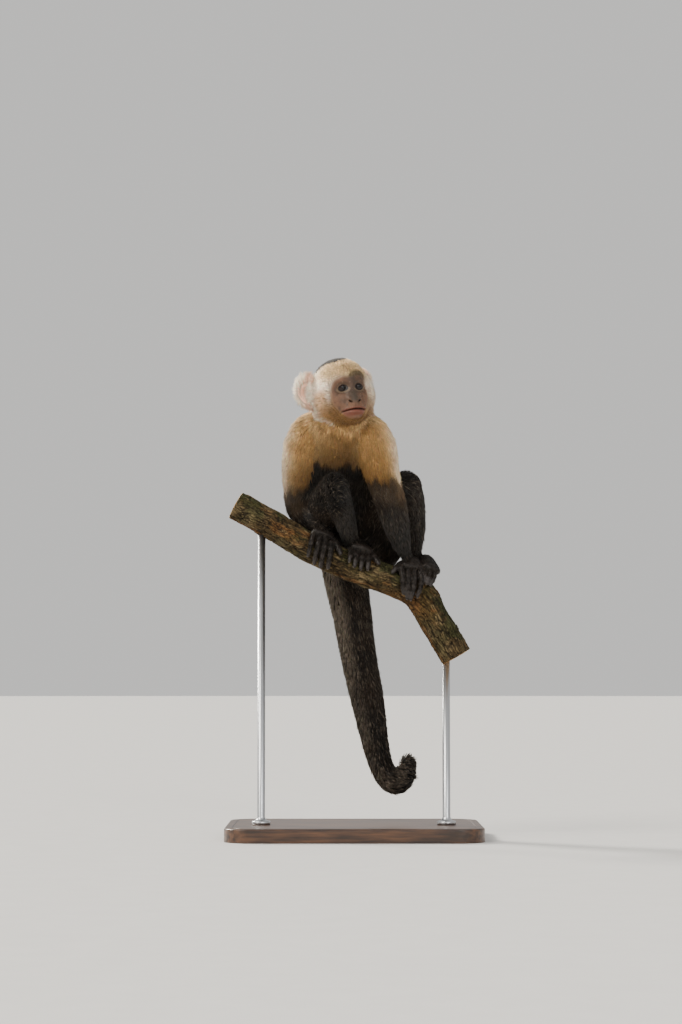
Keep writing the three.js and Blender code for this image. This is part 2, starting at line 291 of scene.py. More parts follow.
headTurn = np.array(Euler([math.radians(headPose[k]) for k in ("lift", "tip", "turn")]).to_matrix())
eyeSpots = {side: centreOf(f"eye_{side}") for side in sides}
betweenEyes = (eyeSpots["right"] + eyeSpots["left"]) / 2
eyeOffset = np.array([0, -headPose["eyesForward"], headPose["eyesUp"]]) * mm
headMiddle = betweenEyes - headTurn @ eyeOffset
eyeRadius = (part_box("eye_left")[1].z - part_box("eye_left")[0].z) / 2 / mm


def toHead(spots):
    aside, back, up = ((spots - headMiddle) @ headTurn / mm).T
    return aside, -back, up


def fromHead(aside, forward, up):
    return headMiddle + np.stack([aside, -forward, up], -1) @ headTurn.T * mm


bareFace = {
    "top": 18.5,
    "peak": 2,  # how far the hair comes down in the middle of the brow
    "middle": -13,
    "chin": -40,
    "wide": 27.5,
    "jaw": 6.5,  # how much narrower the jaw is on each side
    "turned": 5,  # how much narrower the side turned away is
    "square": 2.1,
    "squarer": 1.1,  # over the eyes than round the chin
    "hairline": (1.12, 0.88),  # long hair ends and bare skin begins
}


def faceAround(spots):
    # How far out a spot is from the middle of the bare face: 1 on its edge.
    aside, forward, up = toHead(spots)
    middle = bareFace["middle"]
    high = bareFace["top"] - bareFace["peak"] * bell(aside, 0, 6) - middle
    low = middle - bareFace["chin"]
    level = np.abs(np.where(up > middle, (up - middle) / high, (up - middle) / low))
    square = bareFace["square"] + bareFace["squarer"] * smooth(-20, 0, up)
    wide = bareFace["wide"] - bareFace["jaw"] * smooth(-8, -36, up)
    wide = wide - bareFace["turned"] * smooth(0, 10, aside) * smooth(16, 4, up)
    around = (np.abs(aside / wide) ** square + level**square) ** (1 / square)
    return around + smooth(14, 4, forward)


ruffEdge = {"up": -41, "slant": 0.77, "aside": 24}
fringeSize = {"right": 0.6, "moreLeft": 0.4, "ears": 0.5, "farFromEar": 30, "nearEar": 19}


def overRuff(aside, up):
    # How high a spot is above the slanting lower edge of the cheeks' hair.
    return up - ruffEdge["up"] - ruffEdge["slant"] * (np.abs(aside) - ruffEdge["aside"])


def ruffShare(spots):
    # 1 where the long hair under the cheeks grows.
    aside, forward, up = toHead(spots)
    low = bell(overRuff(aside, up), 7, 5) * bell(forward, 6, 13)
    return low * smooth(14, 22, np.abs(aside))


def fringeShare(spots):
    # 1 where the hair beside the face and before the ears stands out from the head.
    aside, forward, up = toHead(spots)
    cheeks = smooth(20, 27, np.abs(aside)) * smooth(-40, -30, up) * smooth(22, 8, up)
    cheeks *= smooth(-10, 0, forward)
    cheeks *= fringeSize["right"] + fringeSize["moreLeft"] * smooth(0, 10, aside)
    toEar = np.minimum(*(farFrom(spots, f"ear_{side}") for side in sides))
    ears = fringeSize["ears"] * smooth(fringeSize["farFromEar"], fringeSize["nearEar"], toEar)
    return np.maximum(cheeks, ears)


def faceShare(spots):
    # 1 on the bare face, 0 where long hair grows.
    return smooth(*bareFace["hairline"], faceAround(spots))


def hairSize(spots):
    # From 0 on the bare face to 1 where the head's hair is longest. It is short on the brow.
    _, forward, up = toHead(spots)
    brow = smooth(4, 12, up) * smooth(-14, 12, forward)
    return smooth(0.95, 1.8, faceAround(spots)) * (1 - 0.45 * brow)


# The skin: one mesh inside the solids, by the coat's depth.

skinSizes = {
    "voxel": 2.6 * mm,
    "handVoxel": 1.0 * mm,
    "grow": 0.45 * mm,
    "handGrow": 0.35 * mm,
    "depths": {  # of the coat over each part, in millimetres
        "head": 5.2,
        "neck": 9,
        "chest": 10,
        "abdomen": 10,
        "upper_arm": 8.5,
        "forearm": 6,
        "thigh": 9,
        "shin": 5.5,
        "palm": 2.4,
        "foot": 2.6,
        "tail_root": 8.5,
        "tail_middle": 8,
        "tail_lower": 7,
        "tail_tip": 6,
    },
    "faceDepth": 0.9,
    "haunch": 2.5,
    "haunchWide": (48, 32),
    "rounds": {"body": 18, "inset": 6, "after": 3, "hand": 3, "cover": 5},
}


def depthOf(name):
    for part, depth in skinSizes["depths"].items():
        if name.startswith(part):
            return depth
    return skinSizes["faceDepth"]


def nearestNodes(spots, names):
    mesh, faceNodes = solidOf(names, 0)
    work = bmesh.new()
    work.from_mesh(mesh)
    tree = BVHTree.FromBMesh(work)
    work.free()
    found = [faceNodes[tree.find_nearest(spot)[2]] for spot in spots]
    bpy.data.meshes.remove(mesh)
    return np.array(found)


def makeBody():
    names = trunkParts + eyeParts + limbParts + tailParts + list(handParts)
    solid, _ = solidOf(names, skinSizes["grow"])
    mesh = remeshed(solid, skinSizes["voxel"])
    rounds = skinSizes["rounds"]
    soften(mesh, rounds["body"])
    spots, edges = spotsOf(mesh), edgesOf(mesh)
    near = nearestNodes(spots, names)
    depth = np.array([depthOf(name) for name in near])
    onHead = np.isin(near, ["head"] + eyeParts)
    headDepth = skinSizes["faceDepth"] + (depth - skinSizes["faceDepth"]) * hairSize(spots)
    depth = np.where(onHead, headDepth, depth)
    # the left haunch is fuller, because its hair starts there and lies thin
    hip = spotsOf(nodes["thigh_left"].data)
    hip = hip[hip[:, 2] < hip[:, 2].min() + 25 * mm].mean(0)
    fromHip = np.linalg.norm(spots - hip, axis=1) / mm
    haunch = smooth(*skinSizes["haunchWide"], fromHip) * (near == "thigh_left")
    depth += (skinSizes["haunch"] - depth) * haunch
    depth = blurred(depth, edges, rounds["inset"])
    moveTo(mesh, spots - normalsOf(mesh) * depth[:, None] * mm)
    soften(mesh, rounds["after"])
    return mesh


def tipOf(digit, flat):
    # The far end of a finger or toe.
    spots = spotsOf(nodes[digit].data)
    return spots[farFrom(spots, flat).argmax()]


# height, millimetres from the digit's tip, and half width of its swellings and creases
knuckles = [(1, 9, 1.8), (1, 18, 2.2), (-0.9, 13.5, 2.4), (-0.6, 5, 1.6)]
knuckleHeight = 0.4


def makeHand(flat):
    mesh, _ = solidOf(handParts[flat], skinSizes["handGrow"])
    mesh = remeshed(mesh, skinSizes["handVoxel"])
    rounds = skinSizes["rounds"]["hand"]
    soften(mesh, rounds)
    spots = spotsOf(mesh)
    near = nearestNodes(spots, handParts[flat])
    lift = np.zeros(len(spots))
    for name in handParts[flat][1:]:
        far = np.linalg.norm(spots - tipOf(name, flat), axis=1) / mm
        joints = sum(high * bell(far, place, width) for high, place, width in knuckles)
        lift += np.where(near == name, joints, 0)
    lift = blurred(knuckleHeight * lift, edgesOf(mesh), rounds)
    moveTo(mesh, spots + normalsOf(mesh) * lift[:, None] * mm)
    return mesh


earShape = {
    "wide": 14.5,
    "tall": 18,
    "thick": 2.6,
    "rim": 2.4,
    "bowl": 3.4,
    "fold": 1.5,
    "lobe": 0.12,
    "peak": 1.5,
    "flare": 45,
    "lean": 12,
    "inwards": 4.5,
    "bareIn": 4,  # how far towards the head its bare middle lies
}


def makeEar(side):
    sign = sides[side]
    work = bmesh.new()
    bmesh.ops.create_uvsphere(work, u_segments=56, v_segments=28, radius=1)
    bmesh.ops.rotate(work, verts=work.verts, matrix=Matrix.Rotation(math.pi / 2, 3, "X"))
    mesh = meshOf(work, "ear")
    x, y, z = spotsOf(mesh).T
    around = np.sqrt(x**2 + z**2)
    front = smooth(0.1, -0.1, y)
    rim = earShape["rim"] * bell(around, 0.86, 0.13) * front
    fromBowl = np.sqrt((x * 1.1 + 0.1 * sign) ** 2 + (z + 0.15) ** 2)
    bowl = earShape["bowl"] * smooth(0.78, 0.25, fromBowl) * front
    fold = earShape["fold"] * bell(around, 0.55, 0.09) * front * smooth(-0.5, 0.4, z)
    lobe = 1 - earShape["lobe"] * smooth(0.1, -1, z)
    peak = earShape["peak"] * bell(x * sign, 0.7, 0.5) * smooth(0, 1, z)
    wide, tall = x * earShape["wide"] * lobe, z * earShape["tall"] + peak
    shaped = np.stack([wide, y * earShape["thick"] - rim + bowl - fold, tall], -1)
    turn = Euler((0, sign * math.radians(earShape["lean"]), sign * math.radians(earShape["flare"])))
    shaped = shaped @ np.array(turn.to_matrix()).T
    aside, forward, up = toHead(centreOf(f"ear_{side}"))
    shaped += np.array([aside - sign * earShape["inwards"], -forward, up])
    moveTo(mesh, fromHead(shaped[:, 0], -shaped[:, 1], shaped[:, 2]))
    return mesh


def ordered(mesh):
    # The same mesh with its corners and faces sorted, because a union gives them in any order.
    spots = spotsOf(mesh)
    order = np.lexsort(spots.T)
    places = np.argsort(order)
    faces = []
    for face in mesh.polygons:
        corners = places[list(face.vertices)].tolist()
        first = corners.index(min(corners))
        faces.append(corners[first:] + corners[:first])
    sortedMesh = bpy.data.meshes.new("skin")
    sortedMesh.from_pydata(spots[order].tolist(), [], sorted(faces))
    return sortedMesh


def united(base, others):
    body = newPiece("skin", base)
    tools = []
    for index, mesh in enumerate(others):
        tool = newPiece(f"tool_{index}", mesh)
        union = body.modifiers.new("union", "BOOLEAN")
        union.operation = "UNION"
        union.solver = "MANIFOLD"
        union.object = tool
        tools.append(tool)
    mesh = evaluated(body)
    for tool in tools:
        bpy.data.objects.remove(tool)
    return ordered(mesh)


def refine(mesh, wanted):
    # Splits the edges whose two ends are both wanted, so that fine shapes can be modelled there.
    chosen = wanted(spotsOf(mesh))
    work = bmesh.new()
    work.from_mesh(mesh)
    edges = [e for e in work.edges if chosen[e.verts[0].index] and chosen[e.verts[1].index]]
    bmesh.ops.subdivide_edges(work, edges=edges, cuts=1, use_grid_fill=True, smooth=0)
    bmesh.ops.triangulate(work, faces=[f for f in work.faces if len(f.verts) > 4])
    work.to_mesh(mesh)
    work.free()
    mesh.update()


eyeShape = {
    "halfWide": 5.8,
    "halfTall": 4.1,
    "mean": 5.2,
    "lid": 0.7,  # how thick the eyelid lies on the ball
    "sunk": 1.6,  # how far inside the ball the skin goes behind the lid
    "tilt": 5,
    "arch": 0.5,
}
mouthShape = {"halfWide": 17, "middleUp": -26, "drop": 3.2}
noseShape = {"aside": 6.3, "up": -15.8, "slant": 0.5, "long": 1.9, "tall": 1.15}
wrinkles = {"lipLines": 2.4, "lipSway": 0.35, "brow": 2.1, "browBow": 0.05}


def eyeDistance(side, aside, up):
    # How far outside the edge of one eye's lids a spot is, in millimetres.
    eyeAside, _, eyeUp = toHead(eyeSpots[side])
    x, y = (aside - eyeAside) * sides[side], up - eyeUp
    tilt = math.radians(eyeShape["tilt"])
    x, y = x * math.cos(tilt) - y * math.sin(tilt), x * math.sin(tilt) + y * math.cos(tilt)
    y = y + eyeShape["arch"] * (x / eyeShape["halfWide"]) ** 2
    return (np.hypot(x / eyeShape["halfWide"], y / eyeShape["halfTall"]) - 1) * eyeShape["mean"]


def toEyelid(aside, up):
    # The same for the eye that is nearer.
    return np.minimum(*(eyeDistance(side, aside, up) for side in sides))


def mouthHeight(aside, up):
    # How high a spot is above the line between the lips.
    return up - (mouthShape["middleUp"] - mouthShape["drop"] * (aside / mouthShape["halfWide"]) ** 2)


def nostrilShare(aside, up, spread):
    # 1 in the middle of each nostril, which slants up and outwards.
    beside = np.abs(aside) - noseShape["aside"]
    height = up - noseShape["up"] - beside * noseShape["slant"]
    return bell(beside, 0, noseShape["long"] * spread) * bell(height, 0, noseShape["tall"] * spread)


def sculptFace(mesh):
    spots, normals = spotsOf(mesh), normalsOf(mesh)
    aside, forward, up = toHead(spots)
    front = smooth(12, 20, forward) * smooth(-0.15, 0.25, -(normals @ headTurn)[:, 1])
    away = np.abs(aside)
    lift = np.zeros(len(spots))
    # lips, the line between them and the hollows under the lower lip and beside the mouth
    height = mouthHeight(aside, up)
    wide = smooth(1.12, 0.8, away / mouthShape["halfWide"])
    lift += -2.4 * bell(height, 0, 0.8) * wide
    lift += -1.3 * bell(height, -0.7, 1.1) * bell(aside, 2, 6)
    lift += 0.7 * bell(height, 2.2, 1.6) * wide
    lift += 1.5 * bell(height, -3.6, 2.3) * smooth(1.0, 0.3, away / 16)
    lift += -1.0 * bell(height, -8.5, 1.6) * bell(aside, 0, 9)
    lift += -0.7 * bell(away, 20, 1.5) * bell(height, 0.5, 5)
    lift += -0.45 * bell(aside, 0, 1.1) * smooth(1, 4, height) * smooth(11, 7, height)
    swayed = aside + wrinkles["lipSway"] * mottle(spots, 5 * mm, 6)
    lines = np.sin(swayed * wrinkles["lipLines"])
    lift += 0.14 * lines * bell(height, 2.8, 1.5) * wide + 0.1 * lines * bell(height, -4, 2) * wide
    # nose: a broad soft pad with nostrils that open to the sides
    lift += 1.3 * bell(away, 6.6, 2.6) * bell(up, -13.4, 3.0)
    lift += 0.9 * bell(aside, 0, 3.2) * bell(up, -13.5, 6)
    lift += -3.4 * nostrilShare(aside, up, 1)
    lift += -0.8 * bell(away, 11, 1.4) * bell(up, -15 - (away - 11), 5)
    # folds under and between the eyes, and furrows on the brow
    for side in sides:
        around = eyeDistance(side, aside, up)
        below = smooth(3, -1, up)
        lift += -0.45 * bell(around, 4.4, 0.5) * below - 0.35 * bell(around, 6.4, 0.6) * below
    lift += -0.4 * bell(away, 2.6, 0.5) * bell(up, 9, 4)
    furrow = np.sin(up * wrinkles["brow"] + wrinkles["browBow"] * aside**2)
    lift += 0.22 * furrow * smooth(9, 12, up) * smooth(20, 16, up) * smooth(22, 12, away)
    lift += 0.16 * mottle(spots, 1.6 * mm, 3) + 0.12 * mottle(spots, 0.8 * mm, 4)
    spots += normals * (lift * front * faceShare(spots))[:, None] * mm
    # eyelids wrapped over the eyeballs
    for side in sides:
        eye = eyeSpots[side]
        out = unit(spots - eye)
        around = eyeDistance(side, aside, up)
        edge = smooth(-0.35, 0.55, around)
        lid = eyeRadius - eyeShape["sunk"] + (eyeShape["sunk"] + eyeShape["lid"]) * edge
        creases = -0.5 * bell(around, 2.5, 0.42) + 0.25 * bell(around, 3.3, 0.5)
        lid += creases + 0.25 * bell(around, 0.9, 0.5)
        share = smooth(6.0, 2.0, around) * smooth(14, 20, forward) * (away < 26)
        share *= smooth(eyeRadius + 8, eyeRadius + 4, np.linalg.norm(spots - eye, axis=1) / mm)
        spots = mixed(spots, eye + out * (lid * mm)[:, None], share)
    moveTo(mesh, spots)


def nearFace(spots):
    return (faceShare(spots) > 0.02) & (toHead(spots)[1] > 8)


def nearFeatures(spots):
    aside, forward, up = toHead(spots)
    mouth = (np.abs(mouthHeight(aside, up)) < 7) & (np.abs(aside) < 21)
    nose = (np.abs(aside) < 11) & (up > -22) & (up < -8)
    return ((toEyelid(aside, up) < 7) | mouth | nose) & (forward > 14)


def nearEdges(spots):
    aside, forward, up = toHead(spots)
    around = toEyelid(aside, up)
    lids = (around > -1.6) & (around < 4)
    lips = (np.abs(mouthHeight(aside, up)) < 2) & (np.abs(aside) < 20)
    nostrils = nostrilShare(aside, up, 1.5) > 0.05
    return (lids | lips | nostrils) & (forward > 14)


print("skin")
bodyMesh = makeBody()
coverParts = trunkParts + eyeParts + limbParts + tailParts + earParts + list(handParts)
coverMesh = remeshed(solidOf(coverParts, skinSizes["grow"])[0], skinSizes["voxel"])
soften(coverMesh, skinSizes["rounds"]["cover"])
coverWork = bmesh.new()
coverWork.from_mesh(coverMesh)
cover = BVHTree.FromBMesh(coverWork)
coverSpots = np.array([face.calc_center_median() for face in coverWork.faces])
coverWork.free()
coverGroups = np.array([groupOf(name) for name in nearestNodes(coverSpots, fleshParts + eyeParts)])

lineSizes = {"voxel": 3 * mm, "step": 5 * mm, "start": 6 * mm, "branchEnds": 6, "tailEnds": 2}
branchMesh = remeshed(solidOf(["perch_branch"], 0)[0], lineSizes["voxel"])
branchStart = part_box("perch_branch")[0].x + lineSizes["start"]
branchLine = middleLine(
    branchMesh, lambda spots: spots[:, 0] < branchStart, lineSizes["step"], lineSizes["branchEnds"]
)
tailMesh = remeshed(solidOf(tailParts, skinSizes["grow"])[0], lineSizes["voxel"])
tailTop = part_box("tail_root")[1].z
tailStart = tailTop - lineSizes["start"]
tailLine = middleLine(
    tailMesh, lambda spots: spots[:, 2] > tailStart, lineSizes["step"], lineSizes["tailEnds"]
)
print("branch line", len(branchLine), branchLine[0] / mm, branchLine[-1] / mm)
print("tail line", len(tailLine), tailLine[0] / mm, tailLine[-1] / mm)

skinMesh = united(bodyMesh, [makeHand(flat) for flat in handParts] + [makeEar(side) for side in sides])
print("skin faces", len(skinMesh.polygons))
refine(skinMesh, nearFace)
refine(skinMesh, nearFeatures)
refine(skinMesh, nearEdges)
sculptFace(skinMesh)
print("skin faces", len(skinMesh.polygons))


# Which way the hair lies.


def longWay(name, following):
    # A limb's own direction, from its upper end to the part that follows it.
    spots = spotsOf(nodes[name].data)
    spots = spots - spots.mean(0)
    way = np.linalg.eigh(spots.T @ spots)[1][:, 2]
    return way * np.sign(way @ (centreOf(following) - centreOf(name)))


lie = {
    "neck": unit(centreOf("chest") - centreOf("head")),
    "chest": unit(np.array([0, -0.12, -1])),
    "abdomen": unit(np.array([0, 0.15, -1])),
}
limbOrders = (("upper_arm", "forearm"), ("forearm", "palm"), ("thigh", "shin"), ("shin", "foot"))
for side in sides:
    for part, following in limbOrders:
        lie[f"{part}_{side}"] = longWay(f"{part}_{side}", f"{following}_{side}")
parting = {
    "nose": (0.0, 38, -12),  # the head's hair lies away from here
    "kneeShare": 0.85,
    "kneeWide": (58, 30),
    "rounds": 24,
}


def hairWays(spots, normals, near, edges):
    ways = np.zeros_like(spots)
    for name, way in lie.items():
        ways[near == name] = way
    for side in sides:
        # round the knee the thigh's hair turns down the shin
        thigh, shin = lie[f"thigh_{side}"], lie[f"shin_{side}"]
        here = np.isin(near, [f"thigh_{side}", f"shin_{side}"])
        thighSpots = spotsOf(nodes[f"thigh_{side}"].data)
        far = (thighSpots - centreOf(f"thigh_{side}")) @ thigh
        knee = thighSpots[far > parting["kneeShare"] * far.max()].mean(0)
        close = smooth(*parting["kneeWide"], np.linalg.norm(spots[here] - knee, axis=1) / mm)
        bent = np.cross(unit(np.cross(thigh, shin)), normals[here]) + 0.35 * unit(thigh + shin)
        ways[here] = mixed(ways[here], bent, close)
    onHead = near == "head"
    ways[onHead] = unit(spots[onHead] - fromHead(*parting["nose"]))
    for side in sides:
        here = near == f"ear_{side}"
        ways[here] = unit(spots[here] - centreOf(f"ear_{side}"))
    onTail = np.isin(near, tailParts)
    ways[onTail] = besideLine(spots[onTail], tailLine)[1]
    gripping = np.isin(near, sum(handParts.values(), []))
    _, along, out = besideLine(spots[gripping], branchLine)
    ways[gripping] = unit(np.cross(along, out))
    ways -= normals * (ways * normals).sum(1)[:, None]
    return blurred(unit(ways), edges, parting["rounds"])


# Colours shared by the skin and the coat.

hairColours = {
    "white": linear(255, 232, 209),
    "cream": linear(228, 195, 146),
    "gold": linear(172, 127, 70),
    "tan": linear(120, 87, 48),
    "smudge": linear(82, 69, 50),
    "brown": linear(44, 35, 27),
    "black": linear(14, 13, 11),
    "grey": linear(108, 98, 86),
}
skinColours = {
    "face": linear(84, 58, 41),
    "pale": linear(112, 79, 58),
    "shade": linear(56, 43, 32),
    "nose": linear(62, 52, 41),
    "lip": linear(112, 59, 48),
    "lid": linear(116, 99, 78),
    "dark": linear(24, 20, 18),
    "hand": linear(50, 41, 37),
    "ear": linear(240, 168, 136),
}
markings = {
    "bibFoot": 0.37,  # how high the pale hair ends, as a share of the chest's and upper arm's height
    "armFoot": {"right": 0.19, "left": 0.27},
    "capFront": 14,
    "capBow": 0.04,
    "capAside": -6,
    "capWide": 33,
    "capNarrower": 12,  # at the height of the ears' feet
    "browHigh": 25.5,
    "browBow": 0.03,
    "browAside": 8,
    "wander": 5,  # how far the edges of the markings stray, in wide and in fine waves
    "fineWander": 2.5,
    "headWander": 0.45,  # the share of it on the head
    "paleFrom": 0.35,  # the sum of red, green and blue that counts as pale hair
    "hide": 0.62,  # how bright the skin under the coat is beside the coat
}


def heightIn(name, share):
    low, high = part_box(name)
    return (low.z + (high.z - low.z) * share) / mm


def hairColour(spots, normals, near):
    # The coat's colour at each spot, before the small differences from lock to lock.
    x, y, z = (spots / mm).T
    wander = markings["wander"] * mottle(spots, 14 * mm, 11)
    wander += markings["fineWander"] * mottle(spots, 5 * mm, 12)
    dark = mixed(hairColours["black"], hairColours["brown"], 0.3 + 0.3 * mottle(spots, 20 * mm, 13))

    # bib: from the shoulders down the chest, black behind
    chestBack = centreOf("chest")[1] / mm
    spine = centreOf("chest")[0] / mm
    foot = heightIn("chest", markings["bibFoot"])
    behind = smooth(chestBack + 2, chestBack + 26, y + wander * 0.7)
    shoulders = smooth(heightIn("chest", 0.5), heightIn("chest", 0.95), z + wander)
    behind = behind * (1 - 0.85 * shoulders * smooth(16, 40, np.abs(x - spine)))
    locks = 7 * mottle(spots * np.array([1, 1, 0.12]), 5 * mm, 14)
    bib = smooth(foot - 5, foot + 6, z + wander + locks) * (1 - behind)
    middle = bell(x - spine, 0, 46) * smooth(chestBack + 10, chestBack - 30, y)
    hem = bell(z, foot + 6, 22) * 0.7 * middle
    light = tinted(hairColours["cream"], hairColours, ("gold", 0.75 * middle), ("tan", hem))
    rim = mixed(hairColours["tan"], hairColours["brown"], 0.5)
    trunk = mixed(dark, rim, smooth(0.02, 0.3, bib))
    trunk = mixed(trunk, light, smooth(0.3, 0.8, bib))
    colour = where(np.isin(near, ["chest", "abdomen", "neck"]), trunk, dark)

    # arms: cream to just above the elbow, golden on the inside, and lighter on the side that faces outwards
    # as painted rim light
    for side, sign in sides.items():
        elbow = heightIn(f"upper_arm_{side}", markings["armFoot"][side])
        outwards = normals[:, 0] * sign
        inner = smooth(0.8, -0.4, outwards + 0.4 * normals[:, 1])
        pale = tinted(
            hairColours["cream"],
            hairColours,
            ("gold", 0.8 * inner),
            # tan towards the elbow on the inside: partly the change to the black below it, partly painted
            # shade
            ("tan", 0.7 * smooth(elbow + 46, elbow + 4, z + wander) * inner),
            # whiter on the side that faces outwards: pale hair, brightened as painted rim light
            ("white", 0.6 * smooth(0.45, 0.95, outwards)),
        )
        share = smooth(elbow - 8, elbow + 8, z + 1.4 * wander + 0.8 * locks)
        # a little grey-brown all round above the elbow, much lighter on the side that faces outwards as
        # painted rim light
        elbowGreyRimLight = mixed(hairColours["tan"], hairColours["grey"], 0.6)
        rim = mixed(dark, elbowGreyRimLight, 0.2 + 0.6 * smooth(0.1, 0.9, outwards))
        limb = mixed(dark, rim, smooth(elbow - 40, elbow - 12, z + wander))
        colour = where(near == f"upper_arm_{side}", mixed(limb, pale, share), colour)
        colour = where(near == f"forearm_{side}", limb, colour)

    # head: white beside the ears, golden cheeks and throat, and a dark cap that runs down the nape
    aside, forward, up = toHead(spots)
    away, low = np.abs(aside), overRuff(aside, up)
    wander = wander * markings["headWander"]
    front = markings["capFront"] - markings["capBow"] * (aside - markings["capAside"]) ** 2
    cap = smooth(front + 1.5, front - 2.5, forward + 0.6 * wander)
    edge = markings["capWide"] - markings["capNarrower"] * smooth(5, -30, up)
    cap *= smooth(edge + 3, edge - 4, away + wander)
    cheek = smooth(4, -6, up + wander) * smooth(-6, 8, forward + wander)
    cheek *= 1 - 0.65 * smooth(0, 12, aside)
    jaw = bell(away, 24, 9) * smooth(-6, -16, up) * smooth(14, 24, forward)
    chin = smooth(-26, -38, up) * smooth(6, 22, forward)
    edging = bell(low + wander, 0, 2.6) * smooth(14, 22, away) * smooth(-24, -14, forward)
    edging *= 0.45 + 0.55 * streaksOf(spots, 2.2 * mm, 17, -0.4, 0.4)
    # a smudge over the left eye and a faint dark line on the crown
    high = markings["browHigh"] - markings["browBow"] * (aside - markings["browAside"]) ** 2
    brow = smooth(high + 2, high - 3, up + wander) * smooth(-5, 2, aside + wander)
    brow *= smooth(26, 18, aside)
    brow *= smooth(8, 14, up) * smooth(14, 22, forward)
    streaks = streaksOf(spots, 1.8 * mm, 15, -0.45, 0.35)
    crest = bell(aside, -1, 5) * smooth(21, 27, up) * smooth(-4, 4, forward)
    pale = tinted(
        hairColours["white"],
        hairColours,
        ("cream", smooth(4, 24, up + wander) * smooth(-10, 12, forward)),
        ("gold", 0.35 * bell(aside, -6, 15) * smooth(16, 30, up)),
        ("gold", 0.75 * cheek),
        ("gold", 0.8 * smooth(-14, -34, up) * smooth(-22, 12, forward)),
        ("tan", 0.6 * np.maximum(jaw, chin)),
        ("white", 0.8 * bell(away, 30, 2.2) * bell(up, -6, 9) * smooth(16, 22, forward)),
        ("white", 0.8 * edging),
        ("smudge", (0.74 + 0.16 * streaks) * brow),
        ("smudge", 0.4 * crest * streaks),
    )
    colour = where(near == "head", mixed(pale, dark, cap), colour)

    # below the head: painted shade under the cheeks' hair, and the cap's end on the nape
    shaded = 0.6 * bell(low + wander, -8, 5) * smooth(58, 46, away) * smooth(-30, -10, forward)
    shaded *= smooth(0, -14, up)
    below = np.isin(near, ["neck", "chest", "upper_arm_right", "upper_arm_left"])
    light = colour.sum(1) > markings["paleFrom"]
    colour = where(below & light, mixed(colour, hairColours["tan"], shaded), colour)
    nape = smooth(-14, -24, forward) * smooth(24, 14, away + wander)
    colour = where(near == "neck", mixed(colour, dark, nape), colour)

    # ears: tinged with their pink skin on the side of the head
    for side, sign in sides.items():
        inward = -sign * (spots - centreOf(f"ear_{side}"))[:, 0] / mm
        tinged = mixed(hairColours["white"], skinColours["ear"], 0.6 * smooth(-5, 5, inward))
        colour = where(near == f"ear_{side}", tinged, colour)

    # tail: its own right side, the side the lamps light, is grizzled grey as painted rim light, most at its
    # root
    rimLightGrizzle = smooth(0.12, 0.55, -normals[:, 0]) * smooth(-0.8, 0.1, mottle(spots, 3 * mm, 16))
    rimLightGrizzle *= 0.5 + 0.45 * smooth(-250, -100, z - tailTop / mm)
    return where(np.isin(near, tailParts), mixed(colour, hairColours["grey"], rimLightGrizzle), colour)


def faceColour(spots):
    # The bare face: patchy, with painted shade at the nose's root, low in its middle, round the eyes,
    # between the lips and in the nostrils, and darker over the left eye.
    aside, _, up = toHead(spots)
    above = smooth(2, 10, up + 2 * mottle(spots, 4 * mm, 26))
    patchy = smooth(-0.5, 0.5, mottle(spots, 3 * mm, 27))
    spotted = smooth(0.0, 0.7, mottle(spots, 3.2 * mm, 22))
    flesh = tinted(
        skinColours["face"],
        skinColours,
        ("pale", 0.5 + 0.5 * mottle(spots, 7 * mm, 21)),
        ("shade", 0.7 * bell(aside, 1, 7.5) * smooth(-10, 0, up)),
        ("shade", (0.35 + 0.4 * patchy) * above * smooth(-6, 6, aside)),
        ("shade", 0.3 * above * patchy),
        ("shade", 0.55 * spotted * smooth(4, -8, up)),
        ("nose", bell(aside, 0, 6.5) * smooth(-20, -13, up) * smooth(2, -6, up)),
        # painted shade in the middle of the face, from below the eyes down to the nose
        ("shade", 0.3 * bell(aside, 0, 17) * smooth(0, -5, up) * smooth(-20, -14, up)),
    )
    lower = smooth(4, -1, up)
    # round each eye: painted shade round the socket, a pale rim on the lids, most on the lower one, and
    # painted shade in the dark line at the lids' edge, widest under the upper lid
    for side in sides:
        around = eyeDistance(side, aside, up)
        flesh = tinted(
            flesh,
            skinColours,
            ("shade", 0.5 * smooth(7, 3, around)),
            ("lid", (0.15 + 0.5 * lower) * bell(around, 1.3, 1.0)),
            ("dark", smooth(0.9 - 0.4 * lower, 0.1, around)),
        )
    # lips, and painted shade in the line between them, at its corners and in the nostrils
    height = mouthHeight(aside, up)
    wide = smooth(1.1, 0.85, np.abs(aside) / mouthShape["halfWide"])
    lips = wide * smooth(4.4, 1.2, height) * smooth(-10.5, -6, height)
    parted = bell(aside, 4, 7)
    corner = bell(np.abs(aside), 17, 1.6) * bell(height, 0, 1.4)
    return tinted(
        flesh,
        skinColours,
        ("lip", (0.62 + 0.28 * mottle(spots, 2.4 * mm, 25)) * lips),
        ("dark", 0.85 * wide * bell(height, -0.3 * parted, 0.6 + 0.6 * parted)),
        ("dark", 0.6 * corner),
        ("dark", smooth(0.25, 0.75, nostrilShare(aside, up, 1.12))),
    )


def skinColour(spots, normals, near):
    # The hide under the coat takes the coat's colour; the face, ears, hands and feet their own.
    colour = hairColour(spots, normals, near) * markings["hide"]
    bare = faceShare(spots) * np.isin(near, ["head"] + eyeParts)
    colour = mixed(colour, faceColour(spots), bare)
    # the middle of each ear's bowl is darker: painted shade in its hollow
    cupShade = np.maximum(*(bell(farFrom(spots, name), 0, 7) for name in earParts))
    pink = mixed(skinColours["ear"], hairColours["white"], 0.25 + 0.25 * mottle(spots, 4 * mm, 23))
    pink = mixed(pink, skinColours["pale"], 0.5 * cupShade)
    colour = where(np.isin(near, earParts), pink, colour)
    hide = mixed(skinColours["dark"], skinColours["hand"], 0.4 + 0.4 * mottle(spots, 3 * mm, 24))
    return where(np.isin(near, sum(handParts.values(), [])), hide, colour)


